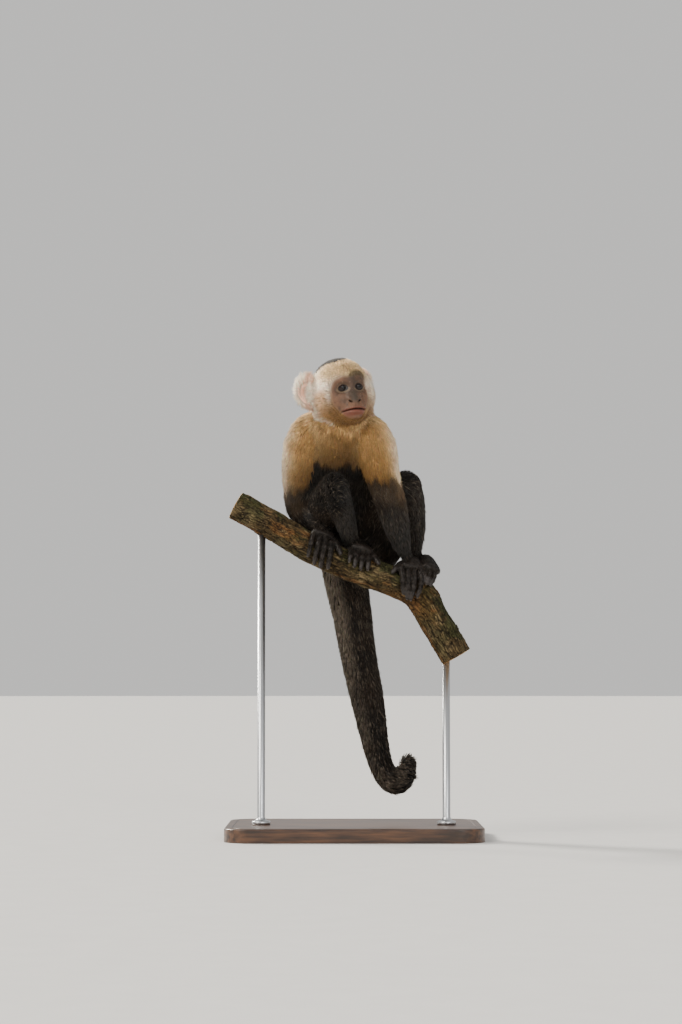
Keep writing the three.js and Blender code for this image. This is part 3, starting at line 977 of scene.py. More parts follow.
def paint(mesh, name, colours):
    layer = mesh.color_attributes.new(name, "FLOAT_COLOR", "POINT")
    values = np.ones((len(colours), 4), np.float32)
    values[:, :3] = np.clip(colours, 0.002, 1)
    layer.data.foreach_set("color", values.ravel())


# Finishes.


def setInputs(node, **values):
    # Sets a node's inputs by their names, with _ for a space.
    for name, value in values.items():
        node.inputs[name.replace("_", " ")].default_value = value


def finish(name, roughness, **sockets):
    made = bpy.data.materials.new(name)
    made.use_nodes = True
    tree = made.node_tree
    shader = tree.nodes["Principled BSDF"]
    setInputs(shader, Roughness=roughness, **sockets)
    return made, tree, shader


def link(tree, start, socket, end, into):
    tree.links.new(start.outputs[socket], end.inputs[into])


def grain(tree, size, detail, stretch=(1, 1, 1)):
    # Noise on the piece's own place in metres.
    place = tree.nodes.new("ShaderNodeTexCoord")
    mapping = tree.nodes.new("ShaderNodeMapping")
    setInputs(mapping, Scale=stretch)
    noise = tree.nodes.new("ShaderNodeTexNoise")
    setInputs(noise, Scale=1 / size, Detail=detail)
    link(tree, place, "Object", mapping, "Vector")
    link(tree, mapping, "Vector", noise, "Vector")
    return noise


def bumped(tree, shader, source, strength, distance):
    bump = tree.nodes.new("ShaderNodeBump")
    setInputs(bump, Strength=strength, Distance=distance)
    link(tree, source, 0, bump, "Height")
    link(tree, bump, "Normal", shader, "Normal")


def attributeNode(tree, name):
    node = tree.nodes.new("ShaderNodeAttribute")
    node.attribute_name = name
    return node


def mathNode(tree, operation, kind="ShaderNodeMath"):
    node = tree.nodes.new(kind)
    node.operation = operation
    return node


def painted(tree, shader, attribute, noise, low, high):
    # Base colour from a painted attribute, made a little lighter and darker by noise.
    colour = attributeNode(tree, attribute)
    levels = tree.nodes.new("ShaderNodeMapRange")
    setInputs(levels, From_Min=0.3, From_Max=0.7, To_Min=low, To_Max=high)
    times = mathNode(tree, "SCALE", "ShaderNodeVectorMath")
    link(tree, noise, 0, levels, "Value")
    link(tree, colour, "Color", times, 0)
    link(tree, levels, "Result", times, "Scale")
    link(tree, times, "Vector", shader, "Base Color")


def shadedBy(tree, shader, source, *stops):
    # Base colour from a ramp between two colours; a stop is its place from 0 to 1 and its colour.
    ramp = tree.nodes.new("ShaderNodeValToRGB")
    for element, (place, colour) in zip(ramp.color_ramp.elements, stops):
        element.position = place
        element.color = (*colour, 1)
    link(tree, source, 0, ramp, "Fac")
    link(tree, ramp, "Color", shader, "Base Color")


def hairFinish():
    sheen = {"Sheen_Weight": 0.06, "Sheen_Roughness": 0.4}
    made, tree, shader = finish("combed hair", 0.6, **sheen, Specular_IOR_Level=0.2)
    painted(tree, shader, "coatColour", grain(tree, 1.4 * mm, 2), 0.86, 1.14)
    return made


def hideFinish():
    made, tree, shader = finish("hide and face", 0.5, Specular_IOR_Level=0.42)
    painted(tree, shader, "hideColour", grain(tree, 0.9 * mm, 3), 0.9, 1.1)
    bumped(tree, shader, grain(tree, 0.45 * mm, 4), 0.35, 0.25 * mm)
    return made


print("skin details")
skinSpots, skinNormals, skinEdges = spotsOf(skinMesh), normalsOf(skinMesh), edgesOf(skinMesh)
skinNear = nearestNodes(skinSpots, fleshParts + eyeParts)
skinNear[np.isin(skinNear, eyeParts)] = "head"
skinWays = hairWays(skinSpots, skinNormals, skinNear, skinEdges)
paint(skinMesh, "hideColour", skinColour(skinSpots, skinNormals, skinNear))
skin = newPiece("skin", skinMesh)
shade(skin, hideFinish())
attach(skin, "root")
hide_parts(*fleshParts)

print("unwrap")
unwrapping = {"angle": math.radians(66), "margin": 0.002}
bpy.context.view_layer.objects.active = skin
skin.select_set(True)
skinMesh.uv_layers.new(name="OFBake")
bpy.ops.object.mode_set(mode="EDIT")
bpy.ops.mesh.select_all(action="SELECT")
bpy.ops.uv.smart_project(angle_limit=unwrapping["angle"], island_margin=unwrapping["margin"])
bpy.ops.object.mode_set(mode="OBJECT")
skin.select_set(False)


# The coat: solid tufts that follow the lie of the hair.

draw = np.random.default_rng(5)

# name: nodes, tufts to a square millimetre, length, width, how far it strays in degrees
coats = {
    "coat_head": (["head"], 2.05, 9, 0.66, 14),
    "coat_mantle": (["neck", "chest"], 1.22, 18, 1.1, 12),
    "coat_belly": (["abdomen"], 0.42, 18, 1.6, 12),
    "coat_arm_right": (["upper_arm_right", "forearm_right"], 1.2, 16, 1.05, 12),
    "coat_arm_left": (["upper_arm_left", "forearm_left"], 1.2, 16, 1.05, 12),
    "coat_leg_right": (["thigh_right", "shin_right"], 0.9, 14, 1.2, 12),
    "coat_leg_left": (["thigh_left", "shin_left"], 0.9, 14, 1.2, 12),
    "coat_tail_upper": (tailParts[:2], 0.55, 13, 1.35, 15),
    "coat_tail_lower": (tailParts[2:], 0.55, 13, 1.35, 15),
    "coat_ears": (earParts, 1.9, 11, 0.5, 26),
}
halved = ["coat_head", "coat_mantle"]  # made as a right and a left piece
shortCoats = {
    "coat_hands": (sum((handParts[f"palm_{side}"] for side in sides), []), 1.5, 4.6, 0.75, 16),
    "coat_feet": (sum((handParts[f"foot_{side}"] for side in sides), []), 1.5, 4.6, 0.75, 16),
    "coat_face": (["head"], 2.2, 2.0, 0.4, 18),
}
loose = {
    "share": 0.1,  # of the tufts that stand out from the rest
    "most": 3.2,
    "under": 2.4,  # how far below the coat's surface its lowest tips stay
    "underShare": 0.4,
    "settle": 7,  # the furthest that a tip moves to reach the coat's surface
    "lock": 3.2,  # tufts this near each other gather into one lock
    "shortLock": 1,
    "gather": 0.4,
    "lockTone": 0.1,
}
coatSizes = {
    "shortest": 2.4,
    "narrowest": 0.6,  # the width's share where the hair is shortest
    "ruff": 4,  # millimetres longer
    "fringe": 4.5,
    "rise": 4,
    "ruffFree": 0.6,
    "fringeFree": 0.65,
    "earFree": 0.85,
    "earDepth": 2.2,
    "thinnest": 0.7,  # the least depth of the coat
    "bareFrom": 0.98,  # no long hair grows nearer the face's middle than this
    "bowl": 13.5,  # how far the sparse middle of the ear reaches
    "inBowl": 0.12,  # the share of tufts left there
}
tuftShape = {
    "root": 0.35,  # shares of its width
    "middle": 0.5,
    "middleHigh": 0.4,
    "sunk": 0.3,
    "bend": 0.42,  # share of its length
    "bendHigh": 0.72,  # share of the coat's depth
    # painted shade darkens each tuft towards its root, deep in the coat, and painted light brightens its
    # tip
    "rootShadeTipLight": {0: 0.55, 0.45: 0.9, 1: 1.12},  # brightness at its root, bend and tip
    # the tips of black tufts brighter still: painted sheen
    "blackTipSheen": 2.4,
    "blackBelow": 0.08,
    "greyBelow": 0.12,
    "greyChance": 0.1,
    "greyOnTail": 0.2,
    "patch": 0.003,  # its size on the unwrapped skin
}


def triangles(kind):
    # The corners of the skin's triangles, as numbers of vertices or of loops.
    values = np.empty(len(skinMesh.loop_triangles) * 3, np.int32)
    skinMesh.loop_triangles.foreach_get(kind, values)
    return values.reshape(-1, 3)


trianglesOf, loopsOf = triangles("vertices"), triangles("loops")
skinPatches = np.empty(len(skinMesh.loops) * 2, np.float32)
skinMesh.uv_layers["OFBake"].uv.foreach_get("vector", skinPatches)
skinPatches = skinPatches.reshape(-1, 2)
cornerA, cornerB, cornerC = (skinSpots[trianglesOf[:, corner]] for corner in range(3))
skinAreas = np.linalg.norm(np.cross(cornerB - cornerA, cornerC - cornerA), axis=1) / 2 / mm**2
skinBvh = BVHTree.FromPolygons(skinSpots.tolist(), trianglesOf.tolist())
skinDepths = np.clip([cover.find_nearest(spot)[3] / mm for spot in skinSpots], 0.5, 12)
skinDepths = blurred(skinDepths, skinEdges, 6)


def rootsOn(names, perArea):
    # Seeds on the skin of the named parts: places, normals, ways and unwrapped places.
    chosen = np.isin(skinNear[trianglesOf[:, 0]], names)
    wanted = np.where(chosen, skinAreas * perArea, 0)
    counts = np.floor(wanted + draw.random(len(wanted))).astype(int)
    which = np.repeat(np.arange(len(wanted)), counts)
    shares = draw.dirichlet([1, 1, 1], len(which))

    def between(values, corners):
        return (values[corners[which]] * shares[:, :, None]).sum(1)

    return {
        "spots": between(skinSpots, trianglesOf),
        "normals": unit(between(skinNormals, trianglesOf)),
        "ways": unit(between(skinWays, trianglesOf)),
        "patches": between(skinPatches, loopsOf),
        "depths": between(skinDepths[:, None], trianglesOf)[:, 0],
        "near": skinNear[trianglesOf[which, 0]],
        "rise": np.zeros(len(which)),
    }


def keep(roots, kept):
    return {key: value[kept] for key, value in roots.items()}


def over(tree, spots, height):
    # The nearest places at a height over a surface, with the surface's normals and faces there.
    found = [tree.find_nearest(spot)[:3] for spot in spots]
    ground = np.array([place for place, _, _ in found])
    normals = np.array([normal for _, normal, _ in found])
    return ground + normals * height[:, None], normals, np.array([face for _, _, face in found])


def settled(spots, ground, most):
    # Moves the spots to their places on the ground, but no further than most.
    shift = ground - spots
    far = np.linalg.norm(shift, axis=1)[:, None]
    return spots + shift * np.minimum(1, most / np.maximum(far, 1e-9))


def locksOf(spots, size):
    # The tuft that leads each tuft's lock, and how strongly it is led.
    count = len(spots)
    tree = KDTree(count)
    grid = {}
    for index, cell in enumerate(map(tuple, np.floor(spots / (size * mm)).astype(int).tolist())):
        grid.setdefault(cell, index)
    leaders = list(grid.values())
    for index in leaders:
        tree.insert(spots[index], index)
    tree.balance()
    found = [tree.find(spot)[1:] for spot in spots]
    lead = np.array([index for index, _ in found])
    away = np.array([distance for _, distance in found]) / mm
    return lead, smooth(1.6 * size, 0.6 * size, away)


def makeTufts(name, roots, length, width, depth, stray, free=None):
    spots, normals = roots["spots"], roots["normals"]
    count = len(spots)
    swirl = stray * (0.8 * mottle(spots, 11 * mm, 31) + draw.normal(0, 0.55, count))
    across = unit(np.cross(normals, roots["ways"]))
    turn = np.radians(swirl)[:, None]
    ways = unit(roots["ways"] * np.cos(turn) + across * np.sin(turn))
    across = unit(np.cross(normals, ways))
    length = length * draw.uniform(0.75, 1.2, count) * mm
    width = width * draw.uniform(0.7, 1.25, count) * mm
    depth = depth * mm
    proud = draw.uniform(-1, 0.25, count)
    proud *= np.where(draw.random(count) < loose["underShare"], loose["under"], 1)
    proud += loose["most"] * draw.random(count) * (draw.random(count) < loose["share"])
    roll = draw.normal(0, 0.3, count)[:, None]
    wide = unit(across * np.cos(roll) + normals * np.sin(roll)) * width[:, None]
    straight = spots + ways * length[:, None] + normals * (depth + roots["rise"] * mm)[:, None]
    bends = free is not None
    lead, lock = locksOf(spots, loose["lock"] if bends else loose["shortLock"])
    if bends:
        ground, facing, face = over(cover, straight, np.clip(proud * mm, -0.5 * depth, length * 0.15))
        flat = over(skinBvh, spots + ways * length[:, None], 0.5 * depth)[0]
        own, other = np.array([groupOf(name) for name in roots["near"]]), coverGroups[face]
        met = (own != other) & (own != "trunk") & (other != "trunk")
        met |= (facing * normals).sum(1) < 0.1  # another limb lies against the skin here
        tips = where(met, flat, settled(straight, ground, loose["settle"] * mm))
        tips = mixed(tips, straight, free)
        tips = mixed(tips, tips[lead], loose["gather"] * lock)
        bend = (tuftShape["bend"] * length)[:, None]
        middles = over(skinBvh, spots + ways * bend, tuftShape["bendHigh"] * depth)[0]
        middles = mixed(middles, mixed(spots, straight, 0.45), free)
        middles = mixed(middles, middles[lead], 0.4 * loose["gather"] * lock)
    else:
        tips = over(skinBvh, spots + ways * length[:, None], depth * draw.uniform(0.7, 1.2, count))[0]
    root = tuftShape["root"]
    corners = [spots - wide * root, spots + wide * root, spots + normals * (width * root)[:, None]]
    corners = [corner - normals * tuftShape["sunk"] * mm for corner in corners]
    faces = [(0, 2, 1)]
    if bends:
        up = unit(np.cross(wide, tips - spots))
        up *= np.sign((up * normals).sum(1))[:, None]
        half, high = tuftShape["middle"], (width * tuftShape["middleHigh"])[:, None]
        corners += [middles - wide * half, middles + wide * half, middles + up * high]
        for a, b in ((0, 1), (1, 2), (2, 0)):
            faces += [(a, b, b + 3), (a, b + 3, a + 3)]
        faces += [(3, 4, 6), (4, 5, 6), (5, 3, 6)]
        steps = [0, 0, 0, 0.45, 0.45, 0.45, 1]
    else:
        faces += [(0, 1, 3), (1, 2, 3), (2, 0, 3)]
        steps = [0, 0, 0, 1]
    corners.append(tips)
    each = len(corners)
    places = np.stack(corners, 1).reshape(-1, 3)
    faces = (np.array(faces)[None] + (np.arange(count) * each)[:, None, None]).reshape(-1, 3)

    mesh = bpy.data.meshes.new(name)
    mesh.vertices.add(len(places))
    mesh.vertices.foreach_set("co", places.astype(np.float32).ravel())
    mesh.loops.add(faces.size)
    mesh.loops.foreach_set("vertex_index", faces.astype(np.int32).ravel())
    mesh.polygons.add(len(faces))
    mesh.polygons.foreach_set("loop_start", np.arange(0, faces.size, 3, dtype=np.int32))
    mesh.update(calc_edges=True)

    beside = [-0.5, 0.5, 0] * (2 if bends else 1) + [0]
    offsets = np.stack([beside, np.array(steps) - 0.5], -1) * tuftShape["patch"]
    patches = (roots["patches"][:, None] + offsets[None]).reshape(-1, 2)
    layer = mesh.uv_layers.new(name="OFBake")
    layer.uv.foreach_set("vector", patches[faces.ravel()].astype(np.float32).ravel())

    colour = hairColour(mixed(spots, tips, 0.55), normals, roots["near"])
    colour *= draw.uniform(0.78, 1.22, (count, 1)) * (1 + 0.05 * draw.normal(0, 1, (count, 3)))
    onTail = np.isin(roots["near"], tailParts)
    chance = np.where(onTail, tuftShape["greyOnTail"], tuftShape["greyChance"])
    grizzled = (draw.random(count) < chance) & (colour.sum(1) < tuftShape["greyBelow"])
    greyness = draw.uniform(0.2, 0.9, grizzled.sum())
    colour[grizzled] = mixed(colour[grizzled], hairColours["grey"], greyness)
    colour *= 1 + 0.12 * mottle(spots, 9 * mm, 33)[:, None]
    colour *= 1 + loose["lockTone"] * draw.normal(0, 1, count)[lead][:, None]
    # each tuft darker at the root as painted shade and lighter at the tip as painted light
    strength = np.tile([tuftShape["rootShadeTipLight"][step] for step in steps], (count, 1))
    # the tips of black tufts much lighter: painted sheen
    strength[colour.sum(1) < tuftShape["blackBelow"], -1] = tuftShape["blackTipSheen"]
    paint(mesh, "coatColour", (colour[:, None] * strength[:, :, None]).reshape(-1, 3))
    mesh.validate()
    return mesh


def coatPiece(name, mesh):
    piece = newPiece(name, mesh)
    shade(piece, hair)
    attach(piece, "root")
    return piece


def coatAll():
    # Long hair: smaller round the face, none on it, and sparse inside the ears.
    for name, (names, perArea, length, width, stray) in coats.items():
        roots = rootsOn(names, perArea)
        kept = (roots["near"] != "head") | (faceAround(roots["spots"]) > coatSizes["bareFrom"])
        flare = math.radians(earShape["flare"])
        for side, sign in sides.items():
            facing = headTurn @ np.array([-sign * math.sin(flare), -math.cos(flare), 0])
            inwards = headTurn @ np.array([sign, 0, 0]) * earShape["bareIn"] * mm
            middle = centreOf(f"ear_{side}") - inwards
            away = np.linalg.norm(roots["spots"] - middle, axis=1) / mm
            bowl = (roots["near"] == f"ear_{side}") & (roots["normals"] @ facing > 0.1)
            bowl &= away < coatSizes["bowl"]
            kept &= ~bowl | (draw.random(len(kept)) < coatSizes["inBowl"])
        roots = keep(roots, kept)
        onHead = roots["near"] == "head"
        size = np.where(onHead, hairSize(roots["spots"]), 1)
        long = coatSizes["shortest"] + (length - coatSizes["shortest"]) * size
        wide = width * (coatSizes["narrowest"] + (1 - coatSizes["narrowest"]) * size)
        free, depth = np.zeros(len(size)), np.maximum(roots["depths"], coatSizes["thinnest"])
        if name == "coat_head":
            ruff, fringe = ruffShare(roots["spots"]), fringeShare(roots["spots"])
            long += coatSizes["ruff"] * ruff + coatSizes["fringe"] * fringe
            free = np.maximum(coatSizes["ruffFree"] * ruff, coatSizes["fringeFree"] * fringe)
            roots["rise"] = coatSizes["rise"] * fringe
        if name == "coat_ears":
            free, depth = free + coatSizes["earFree"], np.full(len(size), coatSizes["earDepth"])
        halves = {name: np.full(len(size), True)}
        if name in halved:
            beyond = roots["spots"][:, 0] < centreOf(names[0])[0]
            halves = {f"{name}_right": beyond, f"{name}_left": ~beyond}
        for half, chosen in halves.items():
            values = (each[chosen] for each in (long, wide, depth))
            piece = coatPiece(half, makeTufts(half, keep(roots, chosen), *values, stray, free[chosen]))
            print(half, len(piece.data.polygons))


def coatShort():
    for name, (names, perArea, length, width, stray) in shortCoats.items():
        roots = rootsOn(names, perArea)
        if name == "coat_face":
            around = faceAround(roots["spots"])
            chance = 0.012 + smooth(0.88, 1.05, around) * (around < 1.15)
            size = 0.55 + 0.6 * smooth(0.8, 1.1, around)
        else:
            out = besideLine(roots["spots"], branchLine)[2]
            chance = smooth(-0.3, 0.3, (unit(out) * roots["normals"]).sum(1))
            for flat, parts in handParts.items():
                for digit in parts[1:] if flat in names else ():
                    far = np.linalg.norm(roots["spots"] - tipOf(digit, flat), axis=1) / mm
                    chance *= smooth(5, 16, far)
            size = np.ones(len(chance))
        kept = draw.random(len(chance)) < chance
        roots = keep(roots, kept)
        size = size[kept]
        mesh = makeTufts(name, roots, length * size, width * size, skinSizes["faceDepth"] * size, stray)
        piece = coatPiece(name, mesh)
        print(name, len(piece.data.polygons))


print("coat")
coatSlots = {name: "cream_hair" for name in ("coat_head", "coat_mantle", "coat_arm_right", "coat_arm_left")}
coatSlots |= {"coat_ears": "cream_hair", "coat_face": "cream_hair"}
hair = hairFinish()
coatAll()
coatShort()


# Eyes.

# angles from the middle of the pupil and of the gaze in degrees, bulge in millimetres
eyes = {"pupil": 15, "iris": 42, "rim": 30, "ring": 24, "bulge": 0.45, "outwards": 4, "up": 1}
eyeColours = {
    "pupil": linear(5, 4, 4),
    "iris": linear(30, 17, 9),
    "ring": linear(30, 17, 9) * 1.5,
    "rim": linear(9, 6, 4),
    "white": linear(30, 21, 16),
}


def makeEye(side):
    work = bmesh.new()
    bmesh.ops.create_uvsphere(work, u_segments=48, v_segments=60, radius=eyeRadius * mm)
    mesh = meshOf(work, f"eyeball_{side}")
    spots = spotsOf(mesh)
    angle = np.degrees(np.arccos(np.clip(unit(spots)[:, 2], -1, 1)))
    spots *= 1 + eyes["bulge"] / eyeRadius * smooth(eyes["iris"] + 4, 12, angle)[:, None]
    colour = tinted(
        eyeColours["iris"],
        eyeColours,
        ("rim", smooth(eyes["rim"], eyes["iris"], angle)),
        ("ring", 0.6 * bell(angle, eyes["ring"], 7)),
        ("pupil", smooth(eyes["pupil"] + 3, eyes["pupil"], angle)),
        ("white", smooth(eyes["iris"], eyes["iris"] + 8, angle)),
    )
    paint(mesh, "eyeColour", colour)
    outwards, up = (math.sin(math.radians(eyes[key])) for key in ("outwards", "up"))
    turn = Vector(headTurn @ np.array([outwards, -1, up])).to_track_quat("Z", "Y").to_matrix()
    moveTo(mesh, spots @ np.array(turn).T + eyeSpots[side])
    eye = newPiece(f"eyeball_{side}", mesh)
    shade(eye, eyeMade)
    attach(eye, "root")
    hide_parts(f"eye_{side}")


def eyeFinish():
    wet = {"Coat_Weight": 0.6, "Coat_Roughness": 0.02}
    made, tree, shader = finish("wet eye", 0.3, **wet, Specular_IOR_Level=0.03)
    painted(tree, shader, "eyeColour", grain(tree, 0.5 * mm, 2), 0.8, 1.2)
    return made


print("eyes")
eyeMade = eyeFinish()
for side in sides:
    makeEye(side)


# Nails.

nails = {
    "halfWide": 1.75,
    "halfLong": 3.0,
    "thick": 0.75,
    "back": 2.6,  # its middle, from the digit's tip
    "across": 0.16,  # how much it curves across and along
    "along": 0.05,
    "sunk": 0.45,
}


def makeNail(name, flat):
    spots, end = spotsOf(nodes[name].data), tipOf(name, flat)
    near = spots[np.linalg.norm(spots - end, axis=1) < 9 * mm]
    way = unit(end - near.mean(0))
    middle = end - way * nails["back"] * mm
    ring = near[np.abs((near - middle) @ way) < 1.5 * mm]
    centre = ring.mean(0) if len(ring) > 5 else near.mean(0)
    out = besideLine(centre[None], branchLine)[2][0]
    out = unit(out - way * (out @ way))
    reach = np.linalg.norm(near - centre - ((near - centre) @ way)[:, None] * way, axis=1).min()
    work = bmesh.new()
    bmesh.ops.create_uvsphere(work, u_segments=16, v_segments=10, radius=1)
    bmesh.ops.scale(work, verts=work.verts, vec=(nails["halfWide"], nails["halfLong"], nails["thick"]))
    for vert in work.verts:
        vert.co.z -= nails["across"] * vert.co.x**2
        vert.co.z -= nails["along"] * max(vert.co.y, 0) ** 2
    mesh = meshOf(work, f"nail_{name}")
    turn = np.stack([np.cross(way, out), way, out], -1)
    place = centre + out * (reach - nails["sunk"] * mm)
    moveTo(mesh, spotsOf(mesh) * mm @ turn.T + place)
    nail = newPiece(f"nail_{name}", mesh)
    shade(nail, nailMade)
    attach(nail, "root")


def nailFinish():
    made, tree, shader = finish("dark nail", 0.32, Specular_IOR_Level=0.5)
    noise = grain(tree, 1.2 * mm, 2, (1, 1, 0.4))
    shadedBy(tree, shader, noise, (0, linear(30, 25, 22)), (1, linear(78, 66, 58)))
    return made


print("nails")
nailMade = nailFinish()
for flat, parts in handParts.items():
    for name in parts[1:]:
        makeNail(name, flat)


# The perch: bark with long fissures, and sawn ends.

bark = {
    "voxel": 1.1 * mm,
    "rounds": 8,
    "fissure": 1.4,
    "coarse": 1.5,
    "ridge": 0.8,
    "warp": 2.2,
    "knot": 2.2,
    "plate": 2.2,
    "long": 6.5,  # how much longer than wide its plates are
    "twist": 0.5,
    "knots": [(0.16, 30), (0.3, -20), (0.55, 75), (0.77, 15), (0.9, 60)],  # share of length, angle
}
barkColours = {
    "dark": linear(30, 24, 18),
    "brown": linear(76, 63, 42),
    "light": linear(126, 110, 80),
    "moss": linear(52, 58, 34),
    "rust": linear(112, 76, 44),
}


def makePerch():
    mesh = remeshed(solidOf(["perch_branch"], 0)[0], bark["voxel"])
    soften(mesh, bark["rounds"])
    spots, normals = spotsOf(mesh), normalsOf(mesh)
    length, way, out = besideLine(spots, branchLine)
    facing = np.abs((normals * way).sum(1))
    nearEnd = smooth(30, 22, np.minimum(length - length.min(), length.max() - length) / mm)
    sawn = smooth(0.6, 0.8, facing) * nearEnd
    front = np.array([0.0, 1, 0])
    ahead, above = out @ front, (out * unit(np.cross(way, front))).sum(1)
    lean = length / bark["twist"]
    warp = bark["warp"] * mm * np.stack([mottle(spots, 11 * mm, seed) for seed in (51, 52)], -1)
    across = ahead * np.cos(lean) - above * np.sin(lean) + warp[:, 0]
    through = ahead * np.sin(lean) + above * np.cos(lean) + warp[:, 1]
    grainSpots = np.stack([length / bark["long"], across, through], -1)
    cracks = np.abs(mottle(grainSpots, 2.8 * mm, 41) + 0.6 * mottle(grainSpots, 1.4 * mm, 42))
    coarse = np.abs(mottle(grainSpots, 6 * mm, 43) + 0.3 * mottle(spots, 2.5 * mm, 49))
    flakes = smooth(0.1, 0.45, mottle(grainSpots * np.array([1.6, 1, 1]), 3.2 * mm, 50))
    fine = mottle(spots, 1.8 * mm, 44)
    depth = bark["fissure"] * smooth(0.26, 0.0, cracks) + bark["coarse"] * smooth(0.16, 0.0, coarse)
    lift = bark["ridge"] * (0.35 * fine + 1.2 * mottle(spots, 13 * mm, 45) + 0.7 * flakes) - depth

    # knots: a swelling with a pit in its middle and a dark ring
    knot, pit = np.zeros(len(spots)), np.zeros(len(spots))
    angle = np.arctan2(above, -ahead)
    for share, turn in bark["knots"]:
        along = (length - length.min() - share * (length.max() - length.min())) / mm
        beside = np.linalg.norm(out, axis=1) / mm * np.sin((angle - math.radians(turn)) / 2) * 2
        far = np.hypot(along * 0.7, beside)
        knot += bell(far, 0, 7) - 0.5 * bell(far, 0, 2.4)
        pit += bell(far, 0, 2.2) + 0.5 * bell(far, 6, 1.2)
    lift += bark["knot"] * knot
    moveTo(mesh, spots + normals * (lift * (1 - sawn))[:, None] * mm)

    upper = smooth(-0.5, 0.6, normals[:, 2])
    moss = smooth(-0.25, 0.35, mottle(spots, 17 * mm, 47) + 0.5 * mottle(spots, 4 * mm, 53))
    colour = tinted(
        barkColours["brown"],
        barkColours,
        ("light", 0.5 * smooth(-0.3, 0.9, mottle(spots, 15 * mm, 46))),
        ("rust", 0.7 * smooth(0.0, 0.55, mottle(grainSpots, 8 * mm, 48))),
        ("moss", (0.3 + 0.5 * upper) * moss),
        ("light", 0.5 * flakes * smooth(0.0, 0.6, mottle(spots, 7 * mm, 54))),
        ("dark", 0.8 * smooth(0.3, 1.5, depth)),
        ("dark", 0.4 * smooth(0.1, 0.9, -fine)),
        ("dark", 0.75 * np.clip(pit, 0, 1)),
    )
    paint(mesh, "barkColour", colour)
    place = mesh.attributes.new("barkPlace", "FLOAT_VECTOR", "POINT")
    unrolled = grainSpots / (bark["plate"] * mm)
    place.data.foreach_set("vector", unrolled.astype(np.float32).ravel())
    heart = mesh.attributes.new("heart", "FLOAT", "POINT")
    heart.data.foreach_set("value", np.linalg.norm(out, axis=1).astype(np.float32))
    perch = newPiece("bark_perch", mesh)
    shade(perch, barkFinish(), sawnFinish())
    cut = [int(sawn[list(face.vertices)].mean() > 0.5) for face in mesh.polygons]
    mesh.polygons.foreach_set("material_index", cut)
    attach(perch, "root")
    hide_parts("perch_branch")
    print("perch", len(mesh.polygons))


def barkFinish():
    # Plates and fine lines that run along the branch, drawn in the bark's own unrolled place.
    made, tree, shader = finish("rough bark", 0.88, Specular_IOR_Level=0.2)
    place = attributeNode(tree, "barkPlace")
    noise = tree.nodes.new("ShaderNodeTexNoise")
    setInputs(noise, Scale=1.5, Detail=6, Roughness=0.7)
    plates = tree.nodes.new("ShaderNodeTexVoronoi")
    plates.feature = "DISTANCE_TO_EDGE"
    setInputs(plates, Scale=0.8)
    edges = tree.nodes.new("ShaderNodeMapRange")
    setInputs(edges, From_Max=0.16, To_Min=-0.28, To_Max=0.03)
    both = mathNode(tree, "ADD")
    link(tree, place, "Vector", noise, "Vector")
    link(tree, place, "Vector", plates, "Vector")
    link(tree, plates, "Distance", edges, "Value")
    link(tree, noise, 0, both, 0)
    link(tree, edges, "Result", both, 1)
    painted(tree, shader, "barkColour", both, 0.5, 1.5)
    bumped(tree, shader, both, 0.9, 1.2 * mm)
    return made


sawnRings = {"perMetre": 2600, "wobble": 5}  # both in radians


def sawnFinish():
    # Growth rings round the branch's heart.
    made, tree, shader = finish("sawn wood", 0.66, Specular_IOR_Level=0.3)
    rings, turns, wave = (mathNode(tree, kind) for kind in ("MULTIPLY_ADD", "MULTIPLY", "SINE"))
    rings.inputs[1].default_value = sawnRings["perMetre"]
    turns.inputs[1].default_value = sawnRings["wobble"]
    link(tree, attributeNode(tree, "heart"), "Fac", rings, 0)
    link(tree, grain(tree, 7 * mm, 2), 0, turns, 0)
    link(tree, turns, 0, rings, 2)
    link(tree, rings, 0, wave, 0)
    shadedBy(tree, shader, wave, (0.1, linear(150, 112, 72)), (0.9, linear(206, 174, 128)))
    bumped(tree, shader, wave, 0.15, 0.2 * mm)
    return made


print("perch")
makePerch()


# The display stand.

stand = {
    "corner": 34,
    "edge": 2.5,
    "grooveIn": 7,
    "groove": 1.2,  # its depth, and the width of each of its two sides
    "collar": 12,
    "collarTall": 8,
    "rod": 5,
    "intoBranch": 3,
}


def roundEdges(work, edges, radius, segments):
    bmesh.ops.bevel(
        work,
        geom=edges,
        offset=radius * mm,
        offset_type="OFFSET",
        affect="EDGES",
        segments=segments,
        profile=0.5,
        material=-1,
    )


def makeBoard():
    low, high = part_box("stand_base")
    size, middle = high - low, (low + high) / 2
    work = bmesh.new()
    bmesh.ops.create_cube(work, size=1)
    bmesh.ops.scale(work, vec=size, verts=work.verts)
    bmesh.ops.translate(work, vec=middle, verts=work.verts)
    upright = [e for e in work.edges if abs(e.verts[0].co.z - e.verts[1].co.z) > size.z / 2]
    roundEdges(work, upright, stand["corner"], 14)
    top = [f for f in work.faces if f.normal.z > 0.9]
    rim = [e for e in work.edges if len(e.link_faces) == 2 and sum(f in top for f in e.link_faces) == 1]
    roundEdges(work, rim, stand["edge"], 4)
    top = [f for f in work.faces if f.normal.z > 0.99]
    groove = stand["groove"]
    for wide, deep in ((stand["grooveIn"], 0), (groove, -groove), (groove, groove)):
        bmesh.ops.inset_region(work, faces=top, thickness=wide * mm, depth=deep * mm)
    board = newPiece("stand_board", meshOf(work, "board"))
    board.data.materials.append(boardFinish())
    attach(board, "root")
    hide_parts("stand_base")


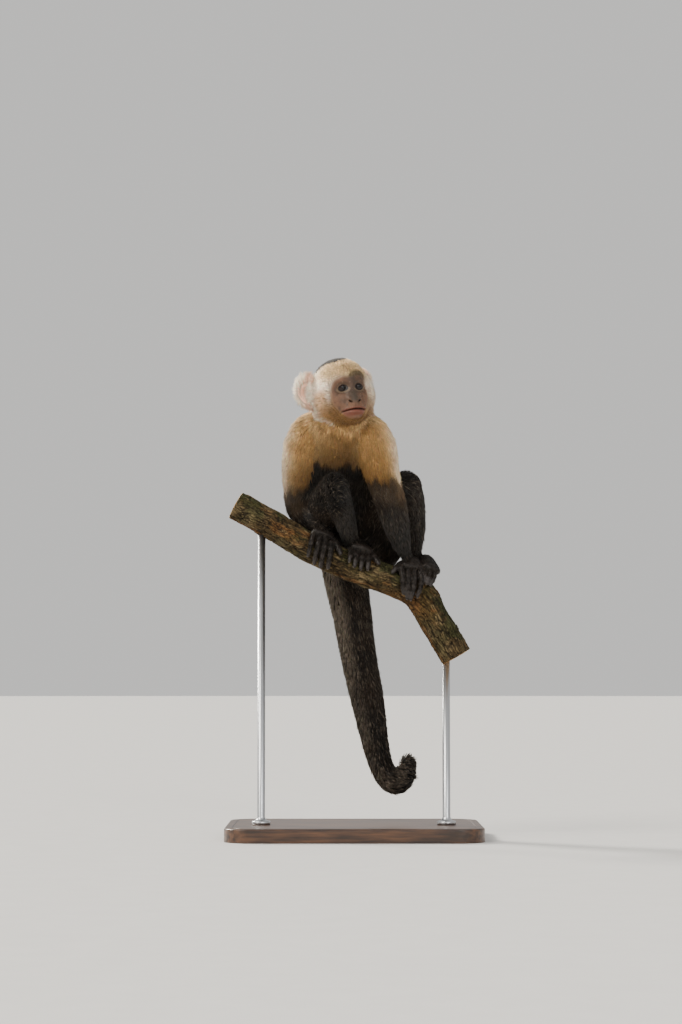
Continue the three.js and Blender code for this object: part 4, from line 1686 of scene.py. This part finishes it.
def makeRod(name):
    low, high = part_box(name)
    x, y = (low.x + high.x) / 2, (low.y + high.y) / 2
    collar, tall, rod = stand["collar"] * mm, stand["collarTall"] * mm, stand["rod"] * mm
    top = high.z + stand["intoBranch"] * mm
    profile = [
        (0, low.z),
        (collar, low.z),
        (collar, low.z + 0.5 * tall),
        (collar - 0.6 * mm, low.z + 0.62 * tall),
        (rod + 2.4 * mm, low.z + 0.75 * tall),
        (rod + 1.2 * mm, low.z + 0.92 * tall),
        (rod, low.z + 1.25 * tall),
        (rod, top),
        (0, top),
    ]
    work = bmesh.new()
    verts = [work.verts.new((r, 0, z)) for r, z in profile]
    edges = [work.edges.new(pair) for pair in zip(verts, verts[1:])]
    spun = {"cent": (0, 0, 0), "axis": (0, 0, 1), "angle": math.tau, "steps": 48}
    bmesh.ops.spin(work, geom=verts + edges, **spun, use_merge=True)
    bmesh.ops.remove_doubles(work, verts=work.verts, dist=1e-6)
    bmesh.ops.translate(work, vec=(x, y, 0), verts=work.verts)
    bmesh.ops.recalc_face_normals(work, faces=work.faces)
    piece = newPiece(name + "_turned", meshOf(work, name))
    shade(piece, steelFinish)
    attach(piece, "root")
    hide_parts(name)


def boardFinish():
    made, tree, shader = finish("dark oiled wood", 0.4, Coat_Weight=0.25, Coat_Roughness=0.25)
    noise = grain(tree, 5 * mm, 6, (0.09, 1, 1))
    shadedBy(tree, shader, noise, (0.35, linear(42, 28, 19)), (0.68, linear(92, 62, 41)))
    bumped(tree, shader, noise, 0.12, 0.3 * mm)
    return made


def brushedSteel():
    made, tree, shader = finish("brushed steel", 0.32, Metallic=1.0)
    noise = grain(tree, 1.5 * mm, 3, (1, 1, 0.04))
    shadedBy(tree, shader, noise, (0, linear(168, 170, 173)), (1, linear(206, 208, 210)))
    bumped(tree, shader, noise, 0.1, 0.1 * mm)
    return made


print("stand")
steelFinish = brushedSteel()
makeBoard()
for name in ("stand_rod_left", "stand_rod_right"):
    makeRod(name)


# Floor, light and camera.

studio = {
    "camera": (-17, -3160.5, 202.7),
    "target": (-17, -25, 422),
    "lens": 85,
    "near": 0.05,
    "floor": 30,
    "floorDark": (0.62, 0.61, 0.59),
    "floorPale": (0.68, 0.67, 0.65),
    "sky": (0.9, 0.89, 0.87),
    "skyStrength": 0.78,
}
# name: place, strength, spread in degrees, colour
suns = {
    "key": ((-1.7, -1.3, 1.7), 2.3, 30, (1.0, 0.95, 0.87)),
    "rim": ((-1.6, 1.3, 1.3), 4.8, 12, (1.0, 0.95, 0.86)),
    "sparkle": ((0.3, -1, 0.42), 0.6, 12, (1.0, 0.98, 0.95)),
}
fill = {
    "place": (1.7, -2.2, 1.5),
    "target": (0, 0, 0.42),
    "size": 1.0,
    "strength": 7,
    "colour": (0.97, 0.98, 1.0),
}


def makeFloor():
    work = bmesh.new()
    bmesh.ops.create_circle(work, cap_ends=True, segments=64, radius=studio["floor"])
    floor = newPiece("floor", meshOf(work, "floor"))
    made, tree, shader = finish("pale floor", 0.7)
    noise = grain(tree, 40 * mm, 3)
    shadedBy(tree, shader, noise, (0, studio["floorDark"]), (1, studio["floorPale"]))
    floor.data.materials.append(made)


def hang(name, data, place, target):
    # Puts a lamp or the camera at its place, turned towards a target.
    holder = bpy.data.objects.new(name, data)
    holder.location = place
    holder.rotation_euler = (Vector(target) - Vector(place)).to_track_quat("-Z", "Y").to_euler()
    bpy.context.collection.objects.link(holder)
    return holder


def makeLight(name, kind, place, target, energy, colour):
    light = bpy.data.lights.new(name, kind)
    light.energy = energy
    light.color = colour
    hang(name, light, place, target)
    return light


def makeStudio():
    for name, (place, energy, spread, colour) in suns.items():
        makeLight(name, "SUN", place, (0, 0, 0), energy, colour).angle = math.radians(spread)
    fillValues = (fill[key] for key in ("place", "target", "strength", "colour"))
    makeLight("fill", "AREA", *fillValues).size = fill["size"]
    world = bpy.data.worlds.new("studio")
    world.use_nodes = True
    sky = world.node_tree.nodes["Background"]
    setInputs(sky, Color=(*studio["sky"], 1), Strength=studio["skyStrength"])
    bpy.context.scene.world = world
    camera = bpy.data.cameras.new("camera")
    camera.lens = studio["lens"]
    camera.clip_start = studio["near"]
    place, target = (Vector(studio[key]) * mm for key in ("camera", "target"))
    bpy.context.scene.camera = hang("camera", camera, place, target)


print("studio")
makeFloor()
makeStudio()
